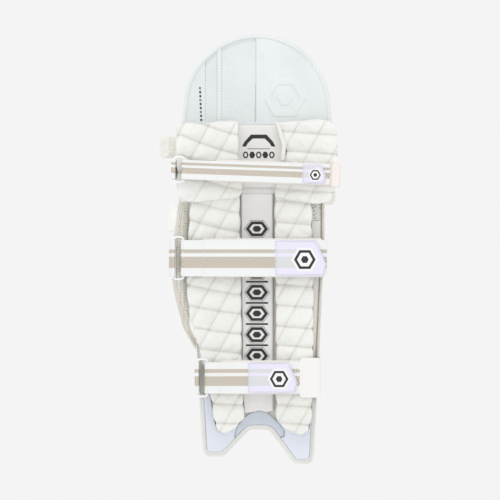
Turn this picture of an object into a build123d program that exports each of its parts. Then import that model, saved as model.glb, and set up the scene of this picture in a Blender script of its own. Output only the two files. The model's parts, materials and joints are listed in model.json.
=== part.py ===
from build123d import *
import os
from math import cos, degrees, radians, sin, sqrt

# A batting leg pad: a curved shin shell with canes and foam, quilted bolsters on its leg
# face, a knee cup with three rolls, a hinged flap above the knee and three webbing straps
# that run through loop rings.  Millimetres.  +Z runs up the shin, -Y faces the leg, and
# the origin lies on the spine band's leg face, level with the top of the instep arch.

os.makedirs("parts", exist_ok=True)

# ---- driving sizes -------------------------------------------------------------------

gap = 0.3  # air between neighbouring pieces
leg_radius = 220.0  # the leg face's curve, about an upright axis behind the calf

# the shell's outline, seen from the leg side
foot_left = 90.6  # half widths
foot_right = 95.0
shin_half_width = 112.0
shin_wide_height = 318.0  # where the shin is widest
knee_half_width = 130.0
knee_low = 400.0
knee_high = 494.0
foot_drop_left = 44.5  # how far each foot lobe hangs below the arch
foot_drop_right = 57.0
arch_left = 55.0  # the arch's feet, and its flat top
arch_right = 62.0
arch_top_left = 12.0
arch_top_right = 20.0
lobe_radius = 9.0  # rounding of the foot lobes and of the arch
arch_radius = 18.0

# the shell's layers, inside out
spine_thickness = 6.0
lining_thickness = 2.0
foam_thickness = 14.0
cane_diameter = 9.0
cane_count = 9
cane_spread = 80.0  # the outer canes' distance from the middle
cane_low = 15.0
cane_high = 480.0
face_thickness = 2.5
rib_radius = 9.0
rib_low = 30.0
rib_high = 368.0

# cushions on the leg face
back_radius = 400.0  # their own, flatter curve
bolster_back = 34.0  # how far they stand off the leg face at the middle
knee_back = 46.0
bolster_top = 383.0
channel_left = 27.0  # the channel between the bolsters
channel_right = 29.5
cover_thickness = 1.6
knee_cushion_top = 514.0
knee_cushion_bottom = 389.0
knee_cushion_overhang = 4.0  # how far they reach past the shell's edge
knee_gap_left = 31.0  # the knee hollow between the cushions
knee_gap_right = 33.0
binding_width = 8.0
instep_top = 61.0
instep_thickness = 12.0
edging_thickness = 3.0

# the knee cup's layers and rolls
cup_layer = 3.4
roll_height = 36.0
roll_pitch = 39.0
roll_depth = 28.0
roll_top_height = 474.0
roll_half_angle = 28.0
roll_left_angle = 35.5  # the upper roll reaches round the outer side
roll_cover = 2.0

# the hinged flap above the knee
flap_half_width = 125.0
flap_low = 510.0
flap_shoulder_half_width = 121.0
flap_shoulder_height = 545.0
flap_crown_half_width = 57.0
flap_crown_height = 648.0
flap_high = 663.3
flap_back_panel = 8.0
flap_foam = 14.0
flap_stiffener_thickness = 2.0
flap_rim = 5.0
rib_panel_left = 86.0
rib_panel_right = 2.0
hinge_web_thickness = 2.0
hinge_web_low = knee_high + gap
hinge_web_high = 503.0

# the wing on the outer side
wing_angle = 58.0  # how far it folds towards the leg
wing_thickness = 5.0
wing_root_clear = 7.2  # the wing's root, out from the shell's edge
wing_root_lift = 2.8  # the wing's root, in front of the web that carries it
wing_low = 160.0
wing_skin = 1.0
side_roll_depth = 17.0

# straps and rings
ring_bar = 1.8  # radius of the rings' wire
ring_pitch = 17.7  # between a ring's two upright bars
ring_corner = 2.6
ring_play = 0.9  # spare height beside the webbing at each end
webbing = 1.6
fold_gap = 1.6  # the webbing's slack round the ring
anchor_gap = 0.4
layer_gap = 0.6
tab_thickness = 1.4

# clearances between the straps' planes and the cushions behind them
knee_strap_clear = 4.9
calf_strap_clear = 10.2
ankle_strap_clear = 8.5
cuff_overhang = 3.5  # how far a strap's fold stands out from the edge it goes round
fold_corner = 3.0
knee_ring_set_in = 13.5  # the right bars, in from the edge that each ring hangs beside
ankle_ring_set_in = 16.5
calf_ring_set_out = 2.3
knee_cuff_set_in = 13.0  # where the knee strap's cuff starts, in from the cushion's edge
calf_strap_reach = 118.0  # the half widths at which the straps bear on the bolsters
ankle_strap_reach = 95.0
ankle_strap_height = 89.5
free_bend = 44.0  # how far from its bar a free end comes down to the layer behind
stitched_lap = 8.0  # how far each pull tab laps its strap
hook_margin = 4.0

# ---- places worked out from them -----------------------------------------------------

lining_in = leg_radius + spine_thickness + gap
lining_out = lining_in + lining_thickness
foam_in = lining_out + gap
foam_out = foam_in + foam_thickness
cane_middle = foam_out + gap + cane_diameter / 2
face_in = cane_middle + cane_diameter / 2 + gap
face_out = face_in + face_thickness
cushion_front = lining_in - 2 * gap  # the bolsters' front, just clear of the lining
cup_base_in = cushion_front - cup_layer
cup_panel_out = cup_base_in - gap
cup_panel_in = cup_panel_out - cup_layer
knee_cushion_front = cup_panel_in - gap
roll_in = face_out + gap
roll_out = roll_in + roll_depth
flap_in = leg_radius + spine_thickness
flap_foam_in = flap_in + flap_back_panel + gap
flap_foam_out = flap_foam_in + flap_foam
flap_stiff_out = flap_foam_out + gap + flap_stiffener_thickness
flap_face_in = flap_stiff_out + gap
flap_face_out = flap_face_in + face_thickness
knee_structure_low = knee_low - 4.0
foot_bottom = -foot_drop_right
reach = 160.0  # the cutting depth either side of the row's XZ plane
fold_radius = ring_bar + fold_gap + webbing / 2
knee_cushion_half_width = knee_half_width + knee_cushion_overhang
wing_root_x = shin_half_width + wing_root_clear
wing_root_y = sqrt(lining_out**2 - wing_root_x**2) - leg_radius + wing_root_lift


def shell_x(height, side):
    """The shell edge's x at a height below the knee, on the left (-1) or right (1)."""
    foot = foot_left if side < 0 else foot_right
    drop = foot_drop_left if side < 0 else foot_drop_right
    share = (height + drop) / (shin_wide_height + drop)
    return side * (foot + (shin_half_width - foot) * min(share, 1.0))


def back_y(stand_off, x):
    """The y of a cushion's back, at a distance from the middle."""
    return -stand_off - back_radius + sqrt(back_radius**2 - x**2)


# each strap: middle height, width, y of the ring's bars, x of the right bar and of the right
# end, tilt, the tab's two ends, the cut of its point, and where the cuff starts
straps = {
    "knee": dict(
        z=430.0, width=32.0, tilt=2.0, tab=(75.0, 114.0), point=8.0, tail=-12.0,
        y=back_y(knee_back, knee_cushion_half_width) - knee_strap_clear,
        bar=-knee_cushion_half_width + knee_ring_set_in,
        end=knee_cushion_half_width + cuff_overhang,
        cuff=knee_cushion_half_width - knee_cuff_set_in, cuff_width=38.0,
    ),
    "calf": dict(
        z=288.0, width=60.0, tilt=0.0, tab=(30.0, 115.0), point=17.0, tail=2.0,
        y=back_y(bolster_back, calf_strap_reach) - calf_strap_clear,
        bar=-wing_root_x - calf_ring_set_out,
        end=shin_half_width + cuff_overhang + 0.5,
        cuff=None, cuff_width=None,
    ),
    "ankle": dict(
        z=ankle_strap_height, width=52.0, tilt=0.0, tab=(-15.0, 67.0), point=14.0, tail=2.0,
        y=back_y(bolster_back, ankle_strap_reach) - ankle_strap_clear,
        bar=shell_x(ankle_strap_height, -1) + ankle_ring_set_in,
        end=shell_x(ankle_strap_height, 1) + cuff_overhang + 0.8,
        cuff=70.7, cuff_width=66.0,
    ),
}


# ---- shared shapes -------------------------------------------------------------------

def polygon(*points):
    """A flat outline in the XZ plane."""
    with BuildSketch(Plane.XZ) as flat:
        with BuildLine():
            Polyline(*points, close=True)
        make_face()
    return flat.sketch


def inset(outline, margin):
    """An XZ outline moved in by a margin."""
    if margin == 0:
        return outline
    with BuildSketch(Plane.XZ) as smaller:
        add(outline)
        offset(amount=-margin, kind=Kind.ARC, mode=Mode.REPLACE)
    return smaller.sketch


def curved(outline, inner, outer):
    """A layer of the shell between two radii of the leg's curve, cut to an XZ outline."""
    box = outline.bounding_box()
    with BuildPart() as layer:
        with BuildSketch(Plane.XY.offset(box.min.Z - 1)):
            with Locations((0, -leg_radius)):
                Circle(outer)
                Circle(inner, mode=Mode.SUBTRACT)
        extrude(amount=box.size.Z + 2)
        extrude(outline, amount=reach, both=True, mode=Mode.INTERSECT)
    return layer.part


def cushion(outline, front, stand_off, margin=0.0):
    """A cushion between the leg's curve and its own flatter back, every face in by margin."""
    box = outline.bounding_box()
    with BuildPart() as body:
        with BuildSketch(Plane.XY.offset(box.min.Z - 1)):
            with Locations((0, -leg_radius)):
                Circle(front - margin)
            with Locations((0, -stand_off - back_radius)):
                Circle(back_radius + margin, mode=Mode.SUBTRACT)
        extrude(amount=box.size.Z + 2)
        extrude(inset(outline, margin), amount=reach, both=True, mode=Mode.INTERSECT)
    return body.part


def largest_face(sketch):
    """The largest face of a sketch, without slivers that a cut left beside it."""
    return sketch.faces().sort_by(SortBy.AREA)[-1]


def finish(piece, name):
    """Labels a finished piece and writes its file."""
    piece.part.label = name
    export_step(piece.part, f"parts/{name}.step")


def shell_outline():
    """The shin shell from the foot lobes to the top of the knee."""
    with BuildSketch(Plane.XZ) as flat:
        with BuildLine():
            Polyline(
                (-foot_left, -foot_drop_left),
                (-arch_left, -foot_drop_left),
                (-arch_top_left, 0),
                (arch_top_right, 0),
                (arch_right, -foot_drop_right),
                (foot_right, -foot_drop_right),
                (shin_half_width, shin_wide_height),
                (shin_half_width, knee_structure_low - 12),
                (knee_half_width, knee_low),
                (knee_half_width, knee_high),
                (-knee_half_width, knee_high),
                (-knee_half_width, knee_low),
                (-shin_half_width, knee_structure_low - 12),
                (-shin_half_width, shin_wide_height),
                close=True,
            )
        make_face()
        lobes = flat.vertices().filter_by_position(Axis.Y, foot_bottom - 1, -1)
        fillet(lobes, radius=lobe_radius)
        arch = flat.vertices().filter_by_position(Axis.Y, -0.1, 0.1)
        fillet(arch, radius=arch_radius)
    return flat.sketch


def band(low, high, left=-200.0, right=200.0):
    """A plain rectangle in the XZ plane, to cut outlines with."""
    return polygon((left, low), (right, low), (right, high), (left, high))


shell = shell_outline()

left_bolster_outline = polygon(
    (-channel_left - 2, bolster_top),
    (-channel_left + 3, 60),
    (-channel_left + 7, 22),
    (-34, 5),
    (-53, -4),
    (-65, -1),
    (-71, 16),
    (-78, 61),
    (-95, 134),
    (-111, 190),
    (-117, 241),
    (-115, 321),
    (-110, bolster_top),
)
right_bolster_outline = polygon(
    (channel_right, bolster_top),
    (channel_right + 2.5, 130),
    (channel_right + 2.5, 20),
    (45, 5),
    (72, -7),
    (86, 1),
    (91, 24),
    (93.4, 122),
    (93.4, 253),
    (90.5, bolster_top),
)
left_knee_outline = polygon(
    (-knee_gap_left, knee_cushion_top + 1),
    (-knee_gap_left, 451),
    (-knee_gap_left + 8, 405),
    (-knee_gap_left, 397),
    (-72, knee_cushion_bottom + 3.5),
    (-112, knee_cushion_bottom),
    (-knee_cushion_half_width + 3, 397),
    (-knee_cushion_half_width, 459),
    (-knee_cushion_half_width, knee_cushion_top - 4),
)
right_knee_outline = polygon(
    (knee_gap_right + 3, knee_cushion_top - 1),
    (knee_cushion_half_width - 15, knee_cushion_top + 2),
    (knee_cushion_half_width - 4, 507),
    (knee_cushion_half_width, 484),
    (knee_cushion_half_width, 443),
    (knee_cushion_half_width - 4, 406),
    (knee_cushion_half_width - 14, 390),
    (95, knee_cushion_bottom - 2),
    (62, knee_cushion_bottom + 4),
    (knee_gap_right - 3, 398),
    (knee_gap_right - 4, 408),
    (knee_gap_right + 12, 451),
    (knee_gap_right + 14, 476),
)

# ---- the shin shell ------------------------------------------------------------------

with BuildPart() as shin_face_cover:
    add(curved(shell, lining_in, face_out))
    rib_step = (cane_spread * 2) / (cane_count - 1)
    for index in range(cane_count):
        rib_x = -cane_spread + index * rib_step
        rib_y = sqrt((face_out - rib_radius / 2) ** 2 - rib_x**2) - leg_radius
        with BuildSketch(Plane.XY.offset(rib_low)):
            with Locations((rib_x, rib_y)):
                Circle(rib_radius)
        extrude(amount=rib_high - rib_low)
    add(curved(inset(shell, face_thickness), lining_in - 20, face_in), mode=Mode.SUBTRACT)
finish(shin_face_cover, "shin_face_cover")

inner_shell = inset(shell, face_thickness + gap)

with BuildPart() as back_lining:
    add(curved(inner_shell, lining_in, lining_out))
finish(back_lining, "back_lining")

with BuildPart() as shin_foam_core:
    add(curved(inner_shell, foam_in, foam_out))
finish(shin_foam_core, "shin_foam_core")

with BuildPart() as cane_rods:
    for index in range(cane_count):
        cane_x = -cane_spread + index * rib_step
        cane_y = sqrt(cane_middle**2 - cane_x**2) - leg_radius
        with BuildSketch(Plane.XY.offset(cane_low)):
            with Locations((cane_x, cane_y)):
                Circle(cane_diameter / 2)
        extrude(amount=cane_high - cane_low)
finish(cane_rods, "cane_rods")

# ---- the leg face: bolsters, spine band and foot pads --------------------------------

for side, outline in (("left", left_bolster_outline), ("right", right_bolster_outline)):
    with BuildPart() as bolster_cover:
        add(cushion(outline, cushion_front, bolster_back))
        add(cushion(outline, cushion_front, bolster_back, cover_thickness), mode=Mode.SUBTRACT)
    finish(bolster_cover, f"{side}_bolster_cover")
    with BuildPart() as bolster_foam:
        add(cushion(outline, cushion_front, bolster_back, cover_thickness + gap))
    finish(bolster_foam, f"{side}_bolster_foam")

arch_crown = 31.7  # the arch pad's upper edge
with BuildPart() as spine_band:
    spine_outline = polygon(
        (-channel_left + gap, knee_structure_low - gap),
        (channel_right - 2.5, knee_structure_low - gap),
        (channel_right - 1, 32),
        (17, arch_crown - 3 + gap),
        (4, arch_crown + gap),
        (-9, arch_crown - 3 + gap),
        (-channel_left + 4, 27),
    )
    with BuildSketch(Plane.XZ) as spine_face:
        add(spine_outline)
        add(inset(left_bolster_outline, -gap), mode=Mode.SUBTRACT)
        add(inset(right_bolster_outline, -gap), mode=Mode.SUBTRACT)
    add(curved(largest_face(spine_face.sketch), leg_radius, lining_in - gap))
finish(spine_band, "spine_band")

with BuildSketch(Plane.XZ) as foot_zone:
    add(inset(shell, binding_width + gap))
    add(band(foot_bottom, instep_top - gap), mode=Mode.INTERSECT)
    add(inset(left_bolster_outline, -gap), mode=Mode.SUBTRACT)
    add(inset(right_bolster_outline, -gap), mode=Mode.SUBTRACT)
arch_outline = polygon(
    (-38, -12), (-34, 4), (-22, 20), (-9, arch_crown - 3), (4, arch_crown),
    (17, arch_crown - 3), (34, 14), (46, 0), (46, -12),
)
instep_in = cushion_front - instep_thickness

for name, side in (("left_instep_pad", -1), ("right_instep_pad", 1)):
    with BuildSketch(Plane.XZ) as instep_outline:
        add(foot_zone.sketch)
        add(inset(arch_outline, -gap), mode=Mode.SUBTRACT)
        add(band(foot_bottom, instep_top, *sorted((side * 34, side * 200))), mode=Mode.INTERSECT)
    with BuildPart() as instep_pad:
        add(curved(largest_face(instep_outline.sketch), instep_in, cushion_front))
    finish(instep_pad, name)

with BuildSketch(Plane.XZ) as arch_zone:
    add(foot_zone.sketch)
    add(arch_outline, mode=Mode.INTERSECT)
with BuildPart() as arch_pad:
    add(curved(largest_face(arch_zone.sketch), cushion_front - instep_thickness / 2,
               cushion_front))
finish(arch_pad, "arch_pad")

with BuildPart() as instep_binding:
    with BuildSketch(Plane.XZ) as binding_outline:
        add(shell)
        add(band(foot_bottom, instep_top), mode=Mode.INTERSECT)
        add(inset(shell, binding_width), mode=Mode.SUBTRACT)
        add(inset(right_bolster_outline, -gap), mode=Mode.SUBTRACT)
    add(curved(largest_face(binding_outline.sketch), cushion_front - edging_thickness,
               cushion_front))
finish(instep_binding, "instep_binding")

# the plain panel, the vent patch and the piping to the right of the right bolster
piping_width = 4.0
vent_low = 351.0
vent_high = knee_cushion_bottom - 6
with BuildSketch(Plane.XZ) as side_outline:
    add(inset(shell, piping_width + gap))
    add(band(instep_top + gap, vent_low - gap, 0, 200), mode=Mode.INTERSECT)
    add(inset(right_bolster_outline, -gap), mode=Mode.SUBTRACT)
    add(band(0, 400, 0, 90), mode=Mode.SUBTRACT)
with BuildPart() as side_panel:
    add(curved(side_outline.sketch, cushion_front - edging_thickness, cushion_front))
finish(side_panel, "side_panel")

with BuildSketch(Plane.XZ) as vent_outline:
    add(inset(shell, piping_width + gap))
    add(band(vent_low, vent_high, 0, 200), mode=Mode.INTERSECT)
    add(inset(right_bolster_outline, -gap), mode=Mode.SUBTRACT)
    add(band(0, 400, 0, 88), mode=Mode.SUBTRACT)
with BuildPart() as side_mesh_patch:
    add(curved(vent_outline.sketch, cushion_front - edging_thickness, cushion_front))
finish(side_mesh_patch, "side_mesh_patch")

with BuildPart() as side_piping:
    with BuildSketch(Plane.XZ) as piping_outline:
        add(shell)
        add(band(instep_top + gap, vent_high, 0, 200), mode=Mode.INTERSECT)
        add(inset(shell, piping_width), mode=Mode.SUBTRACT)
    add(curved(piping_outline.sketch, cushion_front - edging_thickness - 1, cushion_front))
finish(side_piping, "side_piping")

# ---- the wing on the outer side ------------------------------------------------------

wing_along = Vector(-cos(radians(wing_angle)), -sin(radians(wing_angle)), 0)
wing_out = Vector(-sin(radians(wing_angle)), cos(radians(wing_angle)), 0)
wing_plane = Plane(
    origin=(-wing_root_x, wing_root_y, 0), x_dir=tuple(wing_along), z_dir=tuple(wing_out)
)


def wing_profile(margin=0.0):
    """The wing's outline on its own plane: x away from the root, y up."""
    with BuildSketch() as profile:
        with BuildLine():
            Polyline(
                (0, wing_low), (3, 176), (11, 192), (26, 218), (37, 250), (36, 300),
                (31.5, 326), (20, 362), (15, bolster_top - 1), (0, bolster_top - 1), close=True,
            )
        make_face()
        if margin:
            offset(amount=-margin, kind=Kind.ARC, mode=Mode.REPLACE)
    return profile.sketch


def wing_layer(profile, low, high):
    """A layer of the wing between two offsets from its middle plane."""
    with BuildPart() as layer:
        with BuildSketch(wing_plane.offset(low)):
            add(profile)
        extrude(amount=high - low)
    return layer.part


half_wing = wing_thickness / 2
with BuildPart() as wing_cover:
    add(wing_layer(wing_profile(), -half_wing + wing_skin + gap, half_wing))
    add(wing_layer(wing_profile(wing_skin), -half_wing, half_wing - wing_skin), mode=Mode.SUBTRACT)
finish(wing_cover, "wing_cover")

with BuildPart() as wing_foam:
    add(wing_layer(wing_profile(wing_skin + gap), -half_wing + wing_skin + gap,
                   half_wing - wing_skin - gap))
finish(wing_foam, "wing_foam")

with BuildPart() as wing_mesh_lining:
    add(wing_layer(wing_profile(), -half_wing, -half_wing + wing_skin))
finish(wing_mesh_lining, "wing_mesh_lining")

web_end = -wing_root_x + half_wing
with BuildPart() as wing_root_web:
    web_outline = polygon(
        (web_end, wing_low), (shell_x(wing_low, -1) - gap, wing_low),
        (shell_x(shin_wide_height, -1) - gap, shin_wide_height),
        (-shin_half_width - gap, bolster_top - 1), (web_end, bolster_top - 1),
    )
    add(curved(web_outline, lining_in, lining_out))
finish(wing_root_web, "wing_root_web")

with BuildPart() as wing_side_roll:
    with BuildSketch(wing_plane.offset(half_wing + gap)):
        with BuildLine():
            Polyline((12, 334), (28, 332), (18, 376), (4, 376), close=True)
        make_face()
    extrude(amount=side_roll_depth)
finish(wing_side_roll, "wing_side_roll")

# ---- the knee cup --------------------------------------------------------------------

cup_half_width = knee_half_width - 2.0
with BuildPart() as knee_cup_base:
    add(curved(band(knee_structure_low, knee_high - 2, -cup_half_width, cup_half_width),
               cup_base_in, cushion_front))
finish(knee_cup_base, "knee_cup_base")

with BuildPart() as knee_cup_panel:
    add(curved(band(knee_structure_low + 10, knee_high + 10, -48, 52), cup_panel_in, cup_panel_out))
finish(knee_cup_panel, "knee_cup_panel")

binding_stand = 2.0  # the inner bindings stand this far proud of the cushions' sides
for side, outline in (("left", left_knee_outline), ("right", right_knee_outline)):
    with BuildPart() as knee_cushion_cover:
        add(cushion(outline, knee_cushion_front, knee_back))
        add(cushion(outline, knee_cushion_front, knee_back, cover_thickness), mode=Mode.SUBTRACT)
    finish(knee_cushion_cover, f"{side}_knee_cushion_cover")
    with BuildPart() as knee_cushion_foam:
        add(cushion(outline, knee_cushion_front, knee_back, cover_thickness + gap))
    finish(knee_cushion_foam, f"{side}_knee_cushion_foam")

with BuildPart() as knee_cushion_bindings:
    for edge in (
        ((-knee_gap_left + gap, 451), (-knee_gap_left + gap, knee_cushion_top)),
        ((knee_gap_right + 11.5, 451), (knee_gap_right + 13.5, 476),
         (knee_gap_right + 3 - gap, knee_cushion_top - 2)),
    ):
        inward = [(x + (3.0 if x < 0 else -3.0), z) for x, z in reversed(edge)]
        binding_outline = polygon(*edge, *inward)
        add(cushion(binding_outline, knee_cushion_front, knee_back + binding_stand))
finish(knee_cushion_bindings, "knee_cushion_bindings")


def roll(height, left_angle, margin):
    """A knee roll round the front of the shell, every face in by margin."""
    start = radians(roll_half_angle)
    trim = degrees(margin / roll_in)  # the margin at the ends, as an angle
    turn = roll_half_angle + left_angle - 2 * trim
    begin = start - radians(trim)
    radial = Plane(
        origin=(0, -leg_radius, height),
        x_dir=(sin(begin), cos(begin), 0),
        z_dir=(cos(begin), -sin(begin), 0),
    )
    with BuildPart() as body:
        with BuildSketch(radial) as profile:
            with Locations(((roll_in + roll_out) / 2, 0)):
                Rectangle(roll_depth - 2 * margin, roll_height - 2 * margin)
            fillet(profile.vertices(), radius=(roll_depth - 2 * margin) * 0.4)
        revolve(
            axis=Axis((0, -leg_radius, 0), (0, 0, 1)),
            revolution_arc=turn,
        )
    return body.part


roll_names = ("upper_knee_roll", "middle_knee_roll", "lower_knee_roll")
for index, name in enumerate(roll_names):
    roll_z = roll_top_height - index * roll_pitch
    left_angle = roll_left_angle if index == 0 else roll_half_angle
    with BuildPart() as knee_roll:
        add(roll(roll_z, left_angle, 0))
        add(roll(roll_z, left_angle, roll_cover), mode=Mode.SUBTRACT)
    finish(knee_roll, name)

with BuildPart() as knee_roll_cores:
    for index in range(len(roll_names)):
        left_angle = roll_left_angle if index == 0 else roll_half_angle
        add(roll(roll_top_height - index * roll_pitch, left_angle, roll_cover + gap))
finish(knee_roll_cores, "knee_roll_cores")

# ---- the flap above the knee ---------------------------------------------------------

with BuildSketch(Plane.XZ) as flap_sketch:
    with BuildLine():
        shoulder = (flap_shoulder_half_width, flap_shoulder_height)
        crown = (flap_crown_half_width, flap_crown_height)
        bulge_x = (flap_shoulder_half_width + flap_crown_half_width) / 2 + 10
        bulge_z = (flap_shoulder_height + flap_crown_height) / 2 + 14
        Line((-flap_half_width, flap_low), (flap_half_width, flap_low))
        Line((flap_half_width, flap_low), shoulder)
        ThreePointArc(shoulder, (bulge_x, bulge_z), crown)
        ThreePointArc(crown, (0, flap_high), (-flap_crown_half_width, flap_crown_height))
        ThreePointArc(
            (-flap_crown_half_width, flap_crown_height), (-bulge_x, bulge_z),
            (-flap_shoulder_half_width, flap_shoulder_height),
        )
        Line((-flap_shoulder_half_width, flap_shoulder_height), (-flap_half_width, flap_low))
    make_face()
flap = flap_sketch.sketch
flap_inner = inset(flap, flap_rim + gap)

with BuildPart() as flap_binding:
    add(curved(flap, flap_in - 0.5, flap_face_out + 0.6))
    add(curved(inset(flap, flap_rim), flap_in - 2, flap_face_out + 2), mode=Mode.SUBTRACT)
finish(flap_binding, "flap_binding")

for name, low, high in (
    ("flap_face_cover", flap_face_in, flap_face_out),
    ("flap_stiffener", flap_foam_out + gap, flap_stiff_out),
    ("flap_foam_core", flap_foam_in, flap_foam_out),
):
    with BuildPart() as flap_layer:
        add(curved(flap_inner, low, high))
    finish(flap_layer, name)

for name, left, right in (
    ("flap_edge_panel", -200, -rib_panel_left - gap),
    ("flap_rib_panel", -rib_panel_left, -rib_panel_right),
    ("flap_smooth_panel", -rib_panel_right + gap, 200),
):
    with BuildSketch(Plane.XZ) as panel_outline:
        add(flap_inner)
        add(band(flap_low, flap_high, left, right), mode=Mode.INTERSECT)
    with BuildPart() as flap_panel:
        add(curved(panel_outline.sketch, flap_in, flap_foam_in - gap))
    finish(flap_panel, name)

with BuildPart() as knee_hinge_web:
    web_middle = (lining_out + face_in) / 2 + 3
    add(curved(band(hinge_web_low, hinge_web_high, -80, 80), web_middle,
               web_middle + hinge_web_thickness))
finish(knee_hinge_web, "knee_hinge_web")

# ---- straps and rings ----------------------------------------------------------------


def strap_plane(size, lift=0.0):
    """The plane of a strap's profile: x along the strap, y to the front, z across it."""
    tilt = radians(size["tilt"])
    across = Vector(sin(tilt), 0, cos(tilt))
    origin = Vector(0, size["y"], size["z"]) + across * lift
    return Plane(origin=tuple(origin), x_dir=(cos(tilt), 0, -sin(tilt)), z_dir=tuple(across))


def face_plane(size, height):
    """The plane of a strap's face at a height off the ring bars: x along it, y up."""
    tilt = radians(size["tilt"])
    return Plane(
        origin=(0, size["y"] + height, size["z"]), x_dir=(cos(tilt), 0, -sin(tilt)),
        z_dir=(0, -1, 0),
    )


def webbing_run(size, width, points, corner):
    """Webbing of a width that follows a path drawn in the strap's profile plane."""
    with BuildPart() as run:
        with BuildSketch(strap_plane(size, -width / 2)):
            with BuildLine():
                if len(points) > 2:
                    FilletPolyline(*points, radius=corner)
                else:
                    Polyline(*points)
            trace(line_width=webbing)
        extrude(amount=width)
    return run.part


for name, size in straps.items():
    width = size["width"]
    bar = size["bar"]
    left_bar = bar - ring_pitch
    base_start = bar + fold_radius + 1.0
    base_y = fold_radius
    free_y = base_y - webbing - layer_gap
    wrap_x = size["end"] - webbing / 2
    wrap_y = size["tail"] - size["y"]
    cuff_start = size["cuff"]

    with BuildPart() as strap_base:
        if cuff_start is None:
            path = ((base_start, base_y), (wrap_x, base_y), (wrap_x, wrap_y))
        else:
            path = ((base_start, base_y), (cuff_start - gap, base_y))
        add(webbing_run(size, width, path, fold_corner))
    finish(strap_base, f"{name}_strap_base")

    if cuff_start is not None:
        with BuildPart() as strap_cuff:
            path = ((cuff_start, base_y), (wrap_x, base_y), (wrap_x, wrap_y))
            add(webbing_run(size, size["cuff_width"], path, fold_corner))
        finish(strap_cuff, f"{name}_strap_cuff")

    half_height = width / 2 + ring_play + ring_corner
    with BuildPart() as ring:
        with BuildLine(face_plane(size, 0)) as loop:
            FilletPolyline(
                (left_bar, -half_height), (bar, -half_height), (bar, half_height),
                (left_bar, half_height), radius=ring_corner, close=True,
            )
        with BuildSketch(Plane(origin=loop.line @ 0, z_dir=loop.line % 0)):
            Circle(ring_bar)
        sweep()
    finish(ring, f"{name}_ring")

    with BuildPart() as strap_end:
        with BuildSketch(strap_plane(size, -width / 2)):
            with BuildLine():
                CenterArc((bar, 0), fold_radius, 90, 180)
                Line((bar, -fold_radius), (bar + 4, -fold_radius))
                Spline(
                    (bar + 4, -fold_radius), (bar + free_bend, free_y),
                    tangents=((1, 0), (1, 0)),
                )
                Line((bar + free_bend, free_y), (size["tab"][0] + stitched_lap, free_y))
            trace(line_width=webbing)
        extrude(amount=width)
    finish(strap_end, f"{name}_strap_end")

    tab_left, tab_right = size["tab"]
    tab_height = width / 2 - 1.0
    tab_y = free_y - webbing / 2 - 0.1
    with BuildPart() as strap_tab:
        with BuildSketch(face_plane(size, tab_y)):
            with BuildLine():
                Polyline(
                    (tab_left, -tab_height), (tab_right - 5, -tab_height),
                    (tab_right, -tab_height * 0.35), (tab_right - size["point"], tab_height),
                    (tab_left, tab_height), close=True,
                )
            make_face()
        extrude(amount=tab_thickness)
    finish(strap_tab, f"{name}_strap_tab")

    with BuildPart() as tab_hooks:
        with BuildSketch(face_plane(size, free_y + webbing / 2)):
            hook_left = tab_left + stitched_lap + gap
            hook_right = tab_right - size["point"]
            with Locations(((hook_left + hook_right) / 2, 0)):
                Rectangle(hook_right - hook_left, width - 2 * hook_margin)
        extrude(amount=webbing)
    finish(tab_hooks, f"{name}_tab_hooks")

    anchor_hole = ring_bar + anchor_gap
    anchor_outer = anchor_hole + webbing
    if name == "calf":
        root = Vector(-wing_root_x, wing_root_y - size["y"], 0)
        root += wing_out * (half_wing + gap + webbing)
        outer_end = root + wing_along * 41
        inner_end = root + wing_along * 12
        tail = ((outer_end.X, outer_end.Y), (inner_end.X, inner_end.Y))
    elif name == "knee":
        edge = -knee_half_width - gap - webbing - width / 2 * sin(radians(size["tilt"]))
        side_x = -knee_cushion_half_width - gap - 2 * webbing - 1.5
        turn = sqrt(knee_cushion_front**2 - knee_cushion_half_width**2) - leg_radius - size["y"]
        tail = ((side_x, 10), (side_x, turn), (edge, turn + 16), (edge, turn + 38))
    else:
        side_x = shell_x(size["z"] + width / 2, -1) - gap - webbing
        tail = ((side_x, 10), (side_x, 60))
    with BuildPart() as ring_anchor:
        with BuildSketch(strap_plane(size, -width / 2)):
            with Locations((left_bar, 0)):
                Circle(anchor_outer)
            with BuildLine():
                Polyline((left_bar, 0), *tail)
            trace(line_width=2 * webbing)
            with Locations((left_bar, 0)):
                Circle(anchor_hole, mode=Mode.SUBTRACT)
        extrude(amount=width)
    finish(ring_anchor, f"{name}_ring_anchor")
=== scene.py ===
# %% [markdown]
# # A batting leg pad, seen from its leg side
# A leg pad is a curved shin shell with soft goods sewn to both faces: quilted bolsters and
# knee cushions for the leg, canes and rolls for the ball, a flap above the knee, and three
# webbing straps that run through loop rings. The CAD model gives every size and place. Here
# each soft solid gets its own cloth, foam and stitching, and each hard one its finish.
# %% Load the frame
import json
import math
from contextlib import contextmanager

import bpy
import numpy as np
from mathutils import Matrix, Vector
from mathutils.bvhtree import BVHTree


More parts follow.
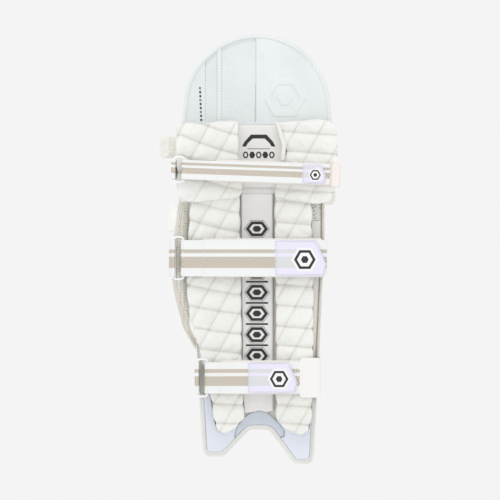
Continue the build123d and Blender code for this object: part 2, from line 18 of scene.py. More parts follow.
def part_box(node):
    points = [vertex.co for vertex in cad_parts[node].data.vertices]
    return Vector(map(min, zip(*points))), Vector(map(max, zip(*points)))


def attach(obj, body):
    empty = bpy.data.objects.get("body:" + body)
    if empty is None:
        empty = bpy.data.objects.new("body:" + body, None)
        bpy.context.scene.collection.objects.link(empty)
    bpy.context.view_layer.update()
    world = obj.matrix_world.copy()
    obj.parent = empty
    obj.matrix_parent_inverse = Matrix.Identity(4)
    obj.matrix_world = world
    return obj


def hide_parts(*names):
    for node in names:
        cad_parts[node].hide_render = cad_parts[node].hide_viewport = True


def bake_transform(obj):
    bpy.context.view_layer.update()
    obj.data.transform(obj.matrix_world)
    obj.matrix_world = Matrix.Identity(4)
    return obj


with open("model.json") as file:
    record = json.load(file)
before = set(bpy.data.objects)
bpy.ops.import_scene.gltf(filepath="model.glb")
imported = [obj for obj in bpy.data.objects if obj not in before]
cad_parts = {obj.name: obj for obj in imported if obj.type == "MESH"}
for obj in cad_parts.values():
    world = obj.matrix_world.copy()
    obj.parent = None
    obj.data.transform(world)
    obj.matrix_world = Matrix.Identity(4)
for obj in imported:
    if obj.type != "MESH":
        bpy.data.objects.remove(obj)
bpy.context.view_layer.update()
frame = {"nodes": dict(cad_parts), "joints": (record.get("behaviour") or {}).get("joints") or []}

MM = 0.001  # sizes are written in millimetres and turned to metres by this

# %% [markdown]
# ## Selecting
# Operators act on whatever is selected, and loading leaves the CAD pieces selected. These
# helpers select exactly one object, open it for editing with all its faces selected, and read
# or write all its points at once, which is how the cushions are shaped further on.
# %% Helpers: selection and points
MERGE = 0.01  # points closer than this, in millimetres, are one point


def only(piece):
    """Selects one object and makes it the active one."""
    for other in list(bpy.context.selected_objects):
        other.select_set(False)
    piece.select_set(True)
    bpy.context.view_layer.objects.active = piece
    return piece


@contextmanager
def editing(piece):
    """Edit mode on one object, with all of it selected."""
    only(piece)
    bpy.ops.object.mode_set(mode="EDIT")
    bpy.ops.mesh.select_all(action="SELECT")
    yield
    bpy.ops.object.mode_set(mode="OBJECT")


def add_shape(name, operator, **settings):
    """Adds one of Blender's own shapes, sized in metres, with only it selected."""
    bpy.ops.object.select_all(action="DESELECT")
    operator(**settings)
    piece = bpy.context.object
    piece.name = name
    return piece


def points_of(piece):
    """All the points of a mesh, in millimetres."""
    flat = np.empty(len(piece.data.vertices) * 3)
    piece.data.vertices.foreach_get("co", flat)
    return flat.reshape(-1, 3) / MM


def move_points(piece, points):
    """Puts a mesh's points where an array says, in millimetres."""
    piece.data.vertices.foreach_set("co", (np.asarray(points) * MM).ravel())
    piece.data.update()


def normals_of(piece):
    """The direction that each point of a mesh faces."""
    flat = np.empty(len(piece.data.vertices) * 3)
    piece.data.vertices.foreach_get("normal", flat)
    return flat.reshape(-1, 3)


def apply_modifier(piece, kind, **settings):
    """Adds a modifier, sets it and applies it."""
    only(piece)
    modifier = piece.modifiers.new(kind.title(), kind)
    for key, value in settings.items():
        setattr(modifier, key, value)
    bpy.ops.object.modifier_apply(modifier=modifier.name)


def paint_points(piece, name, values):
    """Stores one number per point, which a material can read by its name."""
    layer = piece.data.attributes.new(name, "FLOAT", "POINT")
    layer.data.foreach_set("value", np.asarray(values, dtype=np.float32))


def smooth_shade(piece):
    """Shades a whole piece smooth."""
    only(piece)
    bpy.ops.object.shade_smooth()


# %% [markdown]
# ## Placing a piece
# Every new piece rides on a CAD body and stands for the CAD pieces that it covers. One helper
# does both.
# %% Helper: place a piece on its body


def place(piece, body, slot, *nodes):
    """Makes a piece ride on a body and stand for CAD pieces. The slot is not used."""
    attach(piece, body)
    if nodes:
        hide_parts(*nodes)
    return piece


def wear(piece, *materials):
    """Gives a piece its materials."""
    piece.data.materials.clear()
    for material in materials:
        piece.data.materials.append(material)
    return piece


# %% [markdown]
# ## Colours and shader nodes
# Colours are written as sRGB hex, as a paint shop gives them, and turned to linear once. One
# small function adds a shader node with its settings and its links, so each material below
# reads as a list of what it is made of.
# %% Helpers: colours, nodes and materials


def colour(code):
    """A linear colour from an sRGB hex code."""
    parts = [int(code[i:i + 2], 16) / 255 for i in (1, 3, 5)]
    return [p / 12.92 if p <= 0.04045 else ((p + 0.055) / 1.055) ** 2.4 for p in parts] + [1.0]


def add_node(material, kind, settings=None, **sockets):
    """Adds a shader node. A socket is given by its name with _ for a space, or as n0, n1."""
    tree = material.node_tree
    node = tree.nodes.new("ShaderNode" + kind)
    for key, value in (settings or {}).items():
        setattr(node, key, value)
    for key, value in sockets.items():
        numbered = key[0] == "n" and key[1:].isdigit()
        socket = node.inputs[int(key[1:]) if numbered else key.replace("_", " ")]
        if isinstance(value, bpy.types.NodeSocket):
            tree.links.new(value, socket)
        else:
            socket.default_value = value
    return node


def new_material(name, **settings):
    """A material with only its main shader, whose sockets are set by name."""
    material = bpy.data.materials.new(name)
    material.use_nodes = True
    shader = material.node_tree.nodes["Principled BSDF"]
    for key, value in settings.items():
        shader.inputs[key.replace("_", " ")].default_value = value
    return material


def feed(material, socket, value):
    """Links a value to one of the main shader's sockets."""
    shader = material.node_tree.nodes["Principled BSDF"]
    material.node_tree.links.new(value, shader.inputs[socket])


def place_in_mm(material, scale=(1, 1, 1), turn=(0, 0, 0)):
    """Object coordinates in millimetres, stretched and turned."""
    where = add_node(material, "TexCoord")
    thousand = [s / MM for s in scale]
    return add_node(
        material, "Mapping", Vector=where.outputs["Object"], Scale=thousand, Rotation=turn,
    ).outputs["Vector"]


def blend_colours(material, share, first, second):
    """A colour between two, by a share from 0 to 1. Either colour may be a socket."""
    mix = add_node(material, "Mix", dict(data_type="RGBA"), Factor=share)
    for index, value in ((6, first), (7, second)):
        if isinstance(value, bpy.types.NodeSocket):
            material.node_tree.links.new(value, mix.inputs[index])
        else:
            mix.inputs[index].default_value = colour(value)
    return mix.outputs[2]


def raise_by(material, height, depth, below=None):
    """Bumps a surface by a height map, whose full depth is in millimetres."""
    sockets = dict(Height=height, Distance=depth * MM, Strength=1.0)
    if below is not None:
        sockets["Normal"] = below
    return add_node(material, "Bump", None, **sockets).outputs["Normal"]


def combine(material, operation, first, second):
    """A sum, a product or another combination of two numbers in a shader."""
    return add_node(
        material, "Math", dict(operation=operation), n0=first, n1=second,
    ).outputs["Value"]


def reshape(material, value, low, high, to_low=0.0, to_high=1.0):
    """Maps a range of a value to another range, and stops at its ends."""
    return add_node(
        material, "MapRange", None, Value=value, n1=low, n2=high, n3=to_low, n4=to_high,
    ).outputs["Result"]


# %% [markdown]
# ## Coated leathercloth
# The quilts, the ball face and the flap are polyurethane-coated cloth: a soft base with a thin
# moulded skin that carries a leather grain. The grain is a cell pattern about a millimetre
# wide, kept shallow, and the coat is half glossy. The seam values painted on the mesh darken
# the cloth with painted shade: in the quilts' stitched channels, where it also stands for a
# little dust, and in the creases, grooves and folds of the ball face, the flap and the rolls.
# %% Materials: coated cloth


def coated_cloth(name, tone, shade, grain=1.3, relief=0.06, roughness=0.5):
    """Polyurethane-coated cloth with a leather grain, darker where the mesh says 'seam'.

    The shade is two colours: the skin's own drift, and painted shade, with dust on the quilts.
    """
    material = new_material(name, Roughness=roughness, Sheen_Weight=0.08, Specular_IOR_Level=0.4)
    spot = place_in_mm(material)
    drift = add_node(material, "TexNoise", None, Vector=spot, Scale=0.02, Detail=3.0)
    body = blend_colours(
        material, reshape(material, drift.outputs["Fac"], 0.35, 0.7), tone, shade[0],
    )
    # painted shade where the mesh's 'seam' values say: creases, grooves and folds, and on the
    # quilts also dust
    seam = add_node(material, "Attribute", dict(attribute_name="seam")).outputs["Fac"]
    cells = add_node(
        material, "TexVoronoi", dict(feature="SMOOTH_F1"), Vector=spot, Scale=1 / grain,
    ).outputs["Distance"]
    pores = reshape(material, cells, 0.25, 0.75, 0.0, 0.12)
    skin = blend_colours(material, pores, body, shade[0])
    feed(material, "Base Color", blend_colours(material, seam, skin, shade[1]))
    feed(material, "Normal", raise_by(material, cells, relief))
    return material


# the second colour of each shade pair is painted shade where the mesh's 'seam' values say, and on
# the quilts also dust
quilt_cloth = coated_cloth("quilted_pu_microfibre", "#EFEFEB", ("#E9EAE5", "#CDCAC0"))
face_cloth = coated_cloth("embossed_pu_face", "#F6F6F2", ("#EFEFEA", "#CDC9BF"), 1.6, 0.08, 0.4)
flap_cloth = coated_cloth("moulded_pu_flap", "#E6EAEA", ("#E0E5E6", "#BCC3C6"), 1.1, 0.05, 0.42)
roll_cloth = coated_cloth("knee_roll_pu", "#F5F4EF", ("#EEEDE6", "#CFC9BA"), 1.4, 0.07, 0.42)
side_cloth = coated_cloth("smooth_side_pu", "#FBFAF8", ("#F7F6F3", "#E6E2DA"))
print("coated cloths:", quilt_cloth.name, face_cloth.name, flap_cloth.name, roll_cloth.name)

# %% [markdown]
# ## Woven cloth and tape
# The spine band, the instep and the bindings are uncoated woven cloth. A plain weave is two
# sets of threads at right angles, so two wave patterns multiplied give its raised crossings.
# Real threads are under half a millimetre and would vanish, so they are drawn a little coarser.
# %% Materials: woven cloth
WAVE_UNIT = 3.18  # a wave pattern's own width at scale 1, in its units


def woven_cloth(name, tone, shade, thread=1.0, relief=0.1, roughness=0.75, sheen=0.25):
    """Plain-woven cloth: crossing threads, with a little drift in the dye."""
    material = new_material(name, Roughness=roughness, Sheen_Weight=sheen, Sheen_Roughness=0.4)
    spot = place_in_mm(material)
    sets = []
    for axis in ("X", "Z"):
        wave = add_node(
            material, "TexWave", dict(bands_direction=axis), Vector=spot,
            Scale=1 / thread / WAVE_UNIT, Distortion=0.6, Detail=1.0,
        )
        sets.append(wave.outputs["Fac"])
    crossing = combine(material, "MULTIPLY", *sets)
    drift = add_node(material, "TexNoise", None, Vector=spot, Scale=0.03, Detail=4.0)
    share = combine(material, "MULTIPLY", crossing, drift.outputs["Fac"])
    cloth = blend_colours(material, share, tone, shade[0])
    # painted shade where the mesh's 'seam' values say; of the woven cloths only the spine band has
    # them, as a shadow line along its edges
    seam = add_node(material, "Attribute", dict(attribute_name="seam")).outputs["Fac"]
    feed(material, "Base Color", blend_colours(material, seam, cloth, shade[1]))
    feed(material, "Normal", raise_by(material, crossing, relief))
    return material


# the last colour is the painted shadow line along the band's edges
spine_cloth = woven_cloth("brushed_polyester_band", "#FBFAFA", ("#F3F1F0", "#BDB3A6"))
instep_cloth = woven_cloth("instep_nylon", "#E3E8F2", ("#D3DAE7", "#A9B2C4"), 0.9, 0.08, 0.6)
arch_cloth = woven_cloth("arch_nylon", "#D3DAE4", ("#C3CBD8", "#98A2B4"), 0.9, 0.08, 0.6)
binding_tape = woven_cloth("woven_binding_tape", "#F0F0EC", ("#DCDBD4", "#B9B3A7"), 0.8, 0.12)
cup_cloth = woven_cloth("knee_cup_nylon", "#F4F2F1", ("#E8E5E3", "#C2BBB0"), 0.9, 0.06)
lining_cloth = woven_cloth("cotton_lining", "#EFEDE6", ("#DFDCD3", "#B9B3A7"), 1.1, 0.12)

# %% [markdown]
# ## Knitted mesh
# The wing's lining and the vent patch are knitted mesh: a net of rounded holes over a darker
# ground. A hexagonal net is what a cell pattern gives when its points are kept regular, and
# the distance from each cell's middle tells hole from thread. Real holes are two or three
# millimetres apart and would blur, so they are drawn at five.
# %% Materials: knitted mesh
HOLE = 0.2  # a hole's radius, as a share of the pitch
MESH_PITCH = 5.0


def knitted_mesh(name, thread, hole, pitch, turn):
    """Knitted mesh with rounded holes at a pitch in millimetres."""
    material = new_material(name, Roughness=0.7, Sheen_Weight=0.2)
    spot = place_in_mm(material, turn=turn)
    cells = add_node(
        material, "TexVoronoi", None, Vector=spot, Scale=1 / pitch, Randomness=0.28,
    ).outputs["Distance"]
    net = reshape(material, cells, HOLE, HOLE * 2)
    feed(material, "Base Color", blend_colours(material, net, hole, thread))
    feed(material, "Normal", raise_by(material, net, 0.25))
    return material


wing_mesh = knitted_mesh("beige_spacer_mesh", "#FCFAF4", "#CBBDA6", MESH_PITCH, (0.0, 0.0, 1.0))
vent_mesh = knitted_mesh("grey_vent_mesh", "#F4F3F1", "#AFADAA", MESH_PITCH, (0.0, 0.5, 0.0))
print("meshes:", wing_mesh.name, vent_mesh.name)

# %% [markdown]
# ## Striped webbing
# The straps are woven in one piece, white with two beige stripes, and the coloured warp shows
# as a fine herringbone. The stripes follow the strap, not the room, so they read the strap's
# own flat map, which is kept in millimetres: first along the strap, then across it from its
# top edge. The herringbone's real pitch is near a millimetre and is drawn at over four.
# %% Materials: webbing
TWILL_TURN = 5.0  # the herringbone turns back after this many millimetres across
TWILL_HALF = 2.2  # half its pitch along the strap
WEFT_HALF = 0.55  # half the pitch of the plain weave's ribs


def beside(material, across, edges, soft):
    """1 between two distances across a strap, and 0 outside them."""
    rise = reshape(material, across, edges[0] - soft, edges[0] + soft)
    fall = reshape(material, across, edges[1] - soft, edges[1] + soft)
    return combine(material, "SUBTRACT", rise, fall)


def flat_map(material):
    """The distances along and across a strap, in millimetres, and both as one vector."""
    spot = add_node(material, "UVMap", dict(uv_map="UVMap")).outputs["UV"]
    parts = add_node(material, "SeparateXYZ", None, Vector=spot)
    return parts.outputs["X"], parts.outputs["Y"], spot


def stripes_at(material, across, width, stripes, higher=0.0, soft=0.25):
    """1 on a strap's stripes, whose edges are shares of its width, and 0 beside them."""
    bands = [
        beside(material, across, [s * width - higher for s in pair], soft)
        for pair in zip(stripes[::2], stripes[1::2])
    ]
    return combine(material, "MAXIMUM", *bands)


def striped_webbing(name, width, stripes, tone="#F4F5F4", stripe="#A59884"):
    """White webbing with stripes at shares of its width, woven in a herringbone."""
    material = new_material(name, Roughness=0.7, Sheen_Weight=0.25, Sheen_Roughness=0.35)
    along, across, _ = flat_map(material)
    zigzag = combine(material, "PINGPONG", across, TWILL_TURN)
    twill = combine(material, "PINGPONG", combine(material, "ADD", along, zigzag), TWILL_HALF)
    weft = combine(material, "PINGPONG", across, WEFT_HALF)
    coloured = stripes_at(material, across, width, stripes)
    woven = blend_colours(material, reshape(material, twill, 0.6, 1.7), stripe, "#E6E0D6")
    plain = blend_colours(material, reshape(material, weft, 0.1, 0.45), "#E9EBEC", tone)
    feed(material, "Base Color", blend_colours(material, coloured, plain, woven))
    feed(material, "Normal", raise_by(material, combine(material, "ADD", twill, weft), 0.12))
    return material


def plain_webbing(name, tone, shade, pitch, relief=0.15):
    """Plain elastic or tape: fine ribs across its length."""
    material = new_material(name, Roughness=0.72, Sheen_Weight=0.3, Sheen_Roughness=0.35)
    along, across, _ = flat_map(material)
    rib = combine(material, "PINGPONG", along, pitch / 2)
    knit = combine(material, "PINGPONG", across, pitch * 0.4)
    both = combine(material, "ADD", rib, knit)
    feed(material, "Base Color", blend_colours(
        material, reshape(material, both, 0.1, pitch * 0.8), shade, tone,
    ))
    feed(material, "Normal", raise_by(material, both, relief))
    return material


cuff_elastic = plain_webbing("knitted_elastic_cuff", "#F9F8F5", "#ECE9E5", 1.6)
rose_cuff = plain_webbing("rose_elastic_cuff", "#FBF2F0", "#EFE2DF", 1.6)
backing_tape = plain_webbing("cream_backing_tape", "#F7F3EF", "#E9E2DC", 1.4)
anchor_tape = plain_webbing("woven_anchor_tape", "#EFEDE8", "#C9C1B3", 2.0)

# %% [markdown]
# ## Plastics, thread, print and what is hidden
# The rings are moulded acetal: white, dense and softly glossy, with a trace of light passing
# through the thin wire. The thread is a matt twist. The hidden core pieces keep their CAD
# shapes and take the finish of the real stuff: split cane, closed-cell foam and a thin board.
# %% Materials: plastics, thread and cores
ring_acetal = new_material(
    "moulded_white_acetal", Base_Color=colour("#F6F5F9"), Roughness=0.28, IOR=1.48,
    Subsurface_Weight=0.15, Subsurface_Scale=0.002,
)
ring_spot = place_in_mm(ring_acetal)
ring_flow = add_node(ring_acetal, "TexNoise", None, Vector=ring_spot, Scale=0.25, Detail=2.0)
feed(ring_acetal, "Roughness", reshape(ring_acetal, ring_flow.outputs[0], 0.3, 0.7, 0.24, 0.36))
feed(ring_acetal, "Normal", raise_by(ring_acetal, ring_flow.outputs[0], 0.05))


def speckled(name, tone, shade, size, relief, roughness, **settings):
    """A plain finish broken up by specks of a real size."""
    material = new_material(name, Roughness=roughness, **settings)
    spot = place_in_mm(material)
    specks = add_node(material, "TexNoise", None, Vector=spot, Scale=1 / size, Detail=4.0)
    feed(material, "Base Color", blend_colours(
        material, reshape(material, specks.outputs[0], 0.35, 0.65), tone, shade,
    ))
    feed(material, "Normal", raise_by(material, specks.outputs[0], relief))
    return material


thread = speckled("spun_polyester_thread", "#EAE6DB", "#D9D3C4", 0.6, 0.1, 0.8)
pale_thread = speckled("white_spun_thread", "#E6E5E4", "#CFCDCB", 0.6, 0.1, 0.8)
black_ink = speckled("black_screen_print", "#17171A", "#26262A", 1.2, 0.03, 0.5)
white_ink = speckled("white_screen_print", "#F8F7F7", "#EFEDEC", 1.2, 0.03, 0.5)
core_foam = speckled("closed_cell_foam", "#E4E3DE", "#CFCEC8", 1.5, 0.3, 0.9)
flap_board = speckled("polyethylene_board", "#E9E9E6", "#DEDEDA", 6.0, 0.05, 0.4)
hook_nylon = speckled("nylon_hook_tape", "#E7E5E0", "#BEBAB2", 1.4, 0.6, 0.6)
tab_thread = speckled("grey_lilac_thread", "#BDB6C6", "#AAA3B4", 0.6, 0.1, 0.8)
# a dark brown for thin tubes that stand for the shadow in narrow creases beside the cords: painted
# shade
painted_crease_shadow = speckled("brown_painted_crease_shadow", "#C3B7A7", "#A6988A", 2.0, 0.1, 0.85)

split_cane = new_material("split_cane", Roughness=0.55)
cane_spot = place_in_mm(split_cane, scale=(1.0, 1.0, 0.04))
fibre = add_node(split_cane, "TexNoise", None, Vector=cane_spot, Scale=0.9, Detail=5.0).outputs[0]
feed(split_cane, "Base Color", blend_colours(split_cane, fibre, "#D9B779", "#A67C42"))
feed(split_cane, "Normal", raise_by(split_cane, fibre, 0.2))


def twisted_cord(name, tone, shade, lay):
    """Twisted piping cord: strands that slant round it, one every few millimetres."""
    material = new_material(name, Roughness=0.75, Sheen_Weight=0.2)
    along, across, _ = flat_map(material)
    strand = combine(material, "PINGPONG", combine(material, "ADD", along, across), lay / 2)
    # darker in the grooves between the strands, where the bump is lowest: painted shade
    feed(material, "Base Color", blend_colours(
        material, reshape(material, strand, 0.0, lay * 0.28), shade, tone,
    ))
    feed(material, "Normal", raise_by(material, strand, 0.5))
    return material


# the second colour is the painted shade in the grooves between the strands
edge_cord = twisted_cord("twisted_edge_cord", "#F8F6F0", "#CFC5B3", 4.0)
wing_cord = twisted_cord("twisted_wing_cord", "#F8F5EF", "#C9BDA9", 3.2)
print("cores and trims are ready")

# %% [markdown]
# ## Soft copies of the CAD solids
# A stuffed piece begins as a copy of the solid that reserves its space. The loose triangles are
# merged, only the outer skin is kept, and a voxel remesh turns it into an even net of small
# quads, which rounds, swells and folds evenly. The shading directions that came with the CAD
# mesh are cleared first, because on the new net they would draw streaks. A few rounds of
# smoothing then take the sawn look off its edges, as foam under a tight cover never has a
# sharp one. The faces that follow the leg are trued up to their layer's radius.
# %% The radii of the layers
# Every layer is curved about one upright axis behind the calf, at these radii.
LEG_RADIUS = 220.0  # the pad's leg face, which touches y = 0 in its middle
ARCH_FACE = 213.7
CUSHION_FRONT = 218.3  # where the knee cushions meet what is behind them
CUP_FACE = 218.6
INSTEP_FACE = 219.7
EDGE_FACE = 222.7  # the side panel, the vent patch and the foot's binding
CORD_RADIUS = 224.0
BOLSTER_FRONT = 225.7  # where the bolsters meet the lining
FLAP_FACE = 226.0
FLAP_BACK = 250.9  # the inner side of the flap's ball face
RIBBED_FROM = 252.9  # beyond this the ball face is its outer skin
FLAP_BALL = 253.4
BALL_FACE = 254.7
ROLL_RADIUS = 269.0  # the middle of the knee rolls
AXIS = np.array([0, LEG_RADIUS])

# %% Helper: a soft copy


def extent(piece):
    """The length of a mesh's diagonal."""
    points = points_of(piece)
    return float(np.linalg.norm(points.max(axis=0) - points.min(axis=0)))


def true_up(piece, radii, near=3.6):
    """Moves points that face along a shell radius onto it, which takes out the CAD facets.

    A negative radius is a surface that faces the leg, and a positive one faces the ball.
    """
    points = points_of(piece)
    outward = points[:, :2] + AXIS
    from_axis = np.linalg.norm(outward, axis=1)
    facing = (normals_of(piece)[:, :2] * outward).sum(axis=1) / from_axis
    for radius in radii:
        share = np.clip((np.sign(radius) * facing - 0.6) / 0.3, 0, 1)
        share = share * (np.abs(from_axis - abs(radius)) < near)
        scale = 1 + share * (abs(radius) / from_axis - 1)
        outward = outward * scale[:, None]
        points[:, :2] = outward - AXIS
        from_axis = from_axis * scale
    move_points(piece, points)


def soft_copy(name, node, voxel, rounding=8, radii=()):
    """An evenly meshed, rounded copy of a CAD solid's outer skin."""
    mesh = frame["nodes"][node].data.copy()
    piece = bpy.data.objects.new(name, mesh)
    bpy.context.scene.collection.objects.link(piece)
    with editing(piece):
        bpy.ops.mesh.remove_doubles(threshold=MERGE * MM)
        bpy.ops.mesh.separate(type="LOOSE")
    parts = sorted(bpy.context.selected_objects, key=extent)
    piece = parts.pop()
    for part in parts:
        bpy.data.objects.remove(part)
    piece.name = name
    only(piece)
    bpy.ops.mesh.customdata_custom_splitnormals_clear()
    piece.data.remesh_voxel_size = voxel * MM
    bpy.ops.object.voxel_remesh()
    if rounding:
        apply_modifier(piece, "SMOOTH", factor=0.5, iterations=rounding)
    true_up(piece, radii)
    smooth_shade(piece)
    return piece


def leg_facing(piece):
    """How far each point faces the leg: 1 on the leg face, 0 on the sides and the front."""
    return np.clip(-normals_of(piece)[:, 1] * 1.6 - 0.2, 0, 1)


def shell_y(x, radius):
    """The y of a point on a layer's curve, at an x and a radius."""
    return np.sqrt(radius**2 - np.asarray(x) ** 2) - LEG_RADIUS


def run_of(path):
    """The distance run along a path, at each of its points."""
    steps = np.linalg.norm(np.diff(path, axis=0), axis=1)
    return np.concatenate([[0], np.cumsum(steps)])


def new_object(name, points, faces):
    """An object made from points in millimetres and faces."""
    mesh = bpy.data.meshes.new(name)
    mesh.from_pydata((points * MM).tolist(), [], faces)
    piece = bpy.data.objects.new(name, mesh)
    bpy.context.scene.collection.objects.link(piece)
    return piece


# %% [markdown]
# ## Stitches
# A row of stitching is what says that a bulge is quilting. One stitch is a short six-sided bar,
# modelled once. Its copies are laid along a line on the cloth: each place is found by looking
# from the leg's side onto the finished surface, so the thread sinks into the channel with it.
# %% Helper: rows of stitches


def stitch_bar(length, thickness):
    """One stitch as a low six-sided bar along X, at the origin."""
    bar = add_shape(
        "stitch", bpy.ops.mesh.primitive_cylinder_add, vertices=6,
        radius=thickness / 2 * MM, depth=length * MM, rotation=(0, math.pi / 2, 0),
    )
    bpy.ops.object.transform_apply(location=True, rotation=True, scale=True)
    with editing(bar):
        bpy.ops.mesh.bevel(offset=thickness * 0.2 * MM, segments=1)
    return bar


LOOK_FROM = 150.0  # how far in front of the pad a look onto it starts
LOOK_FAR = 400.0
STEP_BACK = 50.0  # how far back from a line in space a look starts


def surface_of(piece):
    only(piece)
    graph = bpy.context.evaluated_depsgraph_get()
    return BVHTree.FromObject(piece, graph)


def spread(line, pitch):
    """Points at an even pitch along a line of points."""
    line = np.asarray(line, dtype=float)
    run = run_of(line)
    count = max(int(run[-1] / pitch), 1)
    marks = (np.arange(count) + 0.5) * run[-1] / count
    return np.stack([np.interp(marks, run, line[:, k]) for k in range(line.shape[1])], axis=1)


def sew(name, cloth, lines, body, slot, pitch=4.2, length=2.7, thickness=0.85, sink=0.2,
        look=(0, 1, 0), material=None):
    """Rows of stitches on a piece, along lines of (x, z) or (x, y, z) points.

    Each place is looked for from outside the piece. Places off it are left out.
    """
    surface = surface_of(cloth)
    bar = stitch_bar(length, thickness)
    shape = points_of(bar)
    corners = [list(p.vertices) for p in bar.data.polygons]
    bpy.data.objects.remove(bar)
    look = Vector(look)
    all_points, all_faces = [], []
    for line in lines:
        marks = spread(line, pitch)
        for index, mark in enumerate(marks):
            if len(mark) == 2:
                start = Vector((mark[0], -LOOK_FROM, mark[1])) * MM
            else:
                start = Vector(mark) * MM - look * (STEP_BACK * MM)
            spot, facing, _, _ = surface.ray_cast(start, look, LOOK_FAR * MM)
            if spot is None or facing.dot(look) > -0.2:
                continue
            ahead = marks[min(index + 1, len(marks) - 1)] - marks[max(index - 1, 0)]
            along = Vector((ahead[0], 0, ahead[1])) if len(mark) == 2 else Vector(ahead)
            along = along - facing * along.dot(facing)
            if along.length < 1e-6:
                continue
            along.normalize()
            side = facing.cross(along)
            turned = shape @ np.array([along, side, facing])
            middle = np.array(spot) / MM + np.array(facing) * (thickness / 2 - sink)
            base = len(all_points) * len(shape)
            all_points.append(turned + middle)
            all_faces += [[base + c for c in face] for face in corners]
    row = new_object(name, np.concatenate(all_points), all_faces)
    place(wear(row, material or thread), body, slot)
    print(f"{name}: {len(all_points)} stitches")
    return row


# %% [markdown]
# ## Quilting
# Each cushion is stitched through in leaning rows and slanting lines, and the foam swells
# between them. First every point is moved by its distance to the nearest seam, which gives
# evenly domed cells. Then the cover is simulated as cloth a little too large for its foam: it
# is held at the seams and on its hidden front, pressure swells it, and the spare cloth puckers
# beside the stitches, as a real quilt does. How far a point may move is capped.
# %% Quilting: seam maps
SLOPE = 0.5317  # how far a slanting seam leans to the right, per millimetre of height
LEAN = 0.883  # the cosine that turns a slanting coordinate into a distance


def rows_left(x, z):
    """The row coordinate on the left: seams rise towards the outer edge, in a curve."""
    share = np.clip((-27.0 - x) / 80.0, 0, 1.2)
    return z - (4.0 + 0.042 * z) * share**1.3


def rows_right(x, z):
    """The row coordinate on the right: seams fall a little towards the outer edge."""
    return z + (x - 30.0) * 0.085


def slants(x, z):
    """The slanting coordinate: lines lean to the right as they rise."""
    return x - z * SLOPE


# Each plan has its rows' heights at the inner edge, its first slanting seam and their pitch,
# and the box that its seams lie in.
quilts = {
    "left_bolster": dict(
        rows=[362.7, 331.2, 297, 262, 227.6, 195.2, 161.7, 129.3, 100, 71, 43, 11.4],
        level=rows_left, first=-278.5, pitch=36.3, body_low=-8, edge=(-118, -24),
    ),
    "right_bolster": dict(
        rows=[383.8, 348.1, 313, 279, 245.2, 210.2, 175.3, 143.7, 109, 77, 44.7, 14.5],
        level=rows_right, first=-157.0, pitch=37.0, body_low=-10, edge=(29, 94),
    ),
    "left_knee_cushion": dict(
        rows=[492, 460, 428, 402], level=rows_left, first=-392.0, pitch=42.0, body_low=388,
        edge=(-134, -28),
    ),
    "right_knee_cushion": dict(
        rows=[500, 468, 436, 404], level=rows_right, first=-245.0, pitch=42.0, body_low=388,
        edge=(34, 134),
    ),
}


def seam_distances(plan, x, z):
    """The distance of each point to the nearest row seam and to the nearest slanting seam."""
    level = plan["level"](x, z)
    row = np.min(np.abs(level[:, None] - np.array(plan["rows"])[None]), axis=1)
    half = plan["pitch"] / 2
    slant = np.abs((slants(x, z) - plan["first"] + half) % plan["pitch"] - half) * LEAN
    return row, slant


def dome(distance, reach):
    """A round rise from 0 at a seam to 1 at a distance from it."""
    share = np.clip(distance / reach, 0, 1)
    return np.sqrt(1 - (1 - share) ** 2)


# %% Quilting: swelling and cloth
CLOTH_STEPS = 20
ROW_REACH = 15.0  # the cells are fully risen this far from a row
SLANT_REACH = 14.0  # and this far from a slanting seam


def swell(piece, held, pressure=6.0, spare=0.03, cap=4.0):
    """Swells a cover as cloth under pressure, held at some points, and caps the movement."""
    before = points_of(piece)
    group = piece.vertex_groups.new(name="held")
    group.add([int(i) for i in np.nonzero(held)[0]], 1.0, "REPLACE")
    only(piece)
    modifier = piece.modifiers.new("Cloth", "CLOTH")
    for setting, value in dict(
        quality=4, mass=0.02, vertex_group_mass="held", use_pressure=True,
        uniform_pressure_force=pressure, shrink_min=-spare, tension_stiffness=12,
        compression_stiffness=12, shear_stiffness=4, bending_stiffness=0.3,
    ).items():
        setattr(modifier.settings, setting, value)
    modifier.settings.effector_weights.gravity = 0
    modifier.collision_settings.use_collision = False
    for step in range(1, CLOTH_STEPS + 1):
        bpy.context.scene.frame_set(step)
    only(piece)
    bpy.ops.object.modifier_apply(modifier="Cloth")
    piece.vertex_groups.clear()
    bpy.context.scene.frame_set(1)
    moved = points_of(piece) - before
    far = np.linalg.norm(moved, axis=1, keepdims=True)
    limited = moved * np.minimum(1.0, cap / np.maximum(far, 1e-6))
    move_points(piece, before + limited)
    return float(far.mean()), float(far.max())


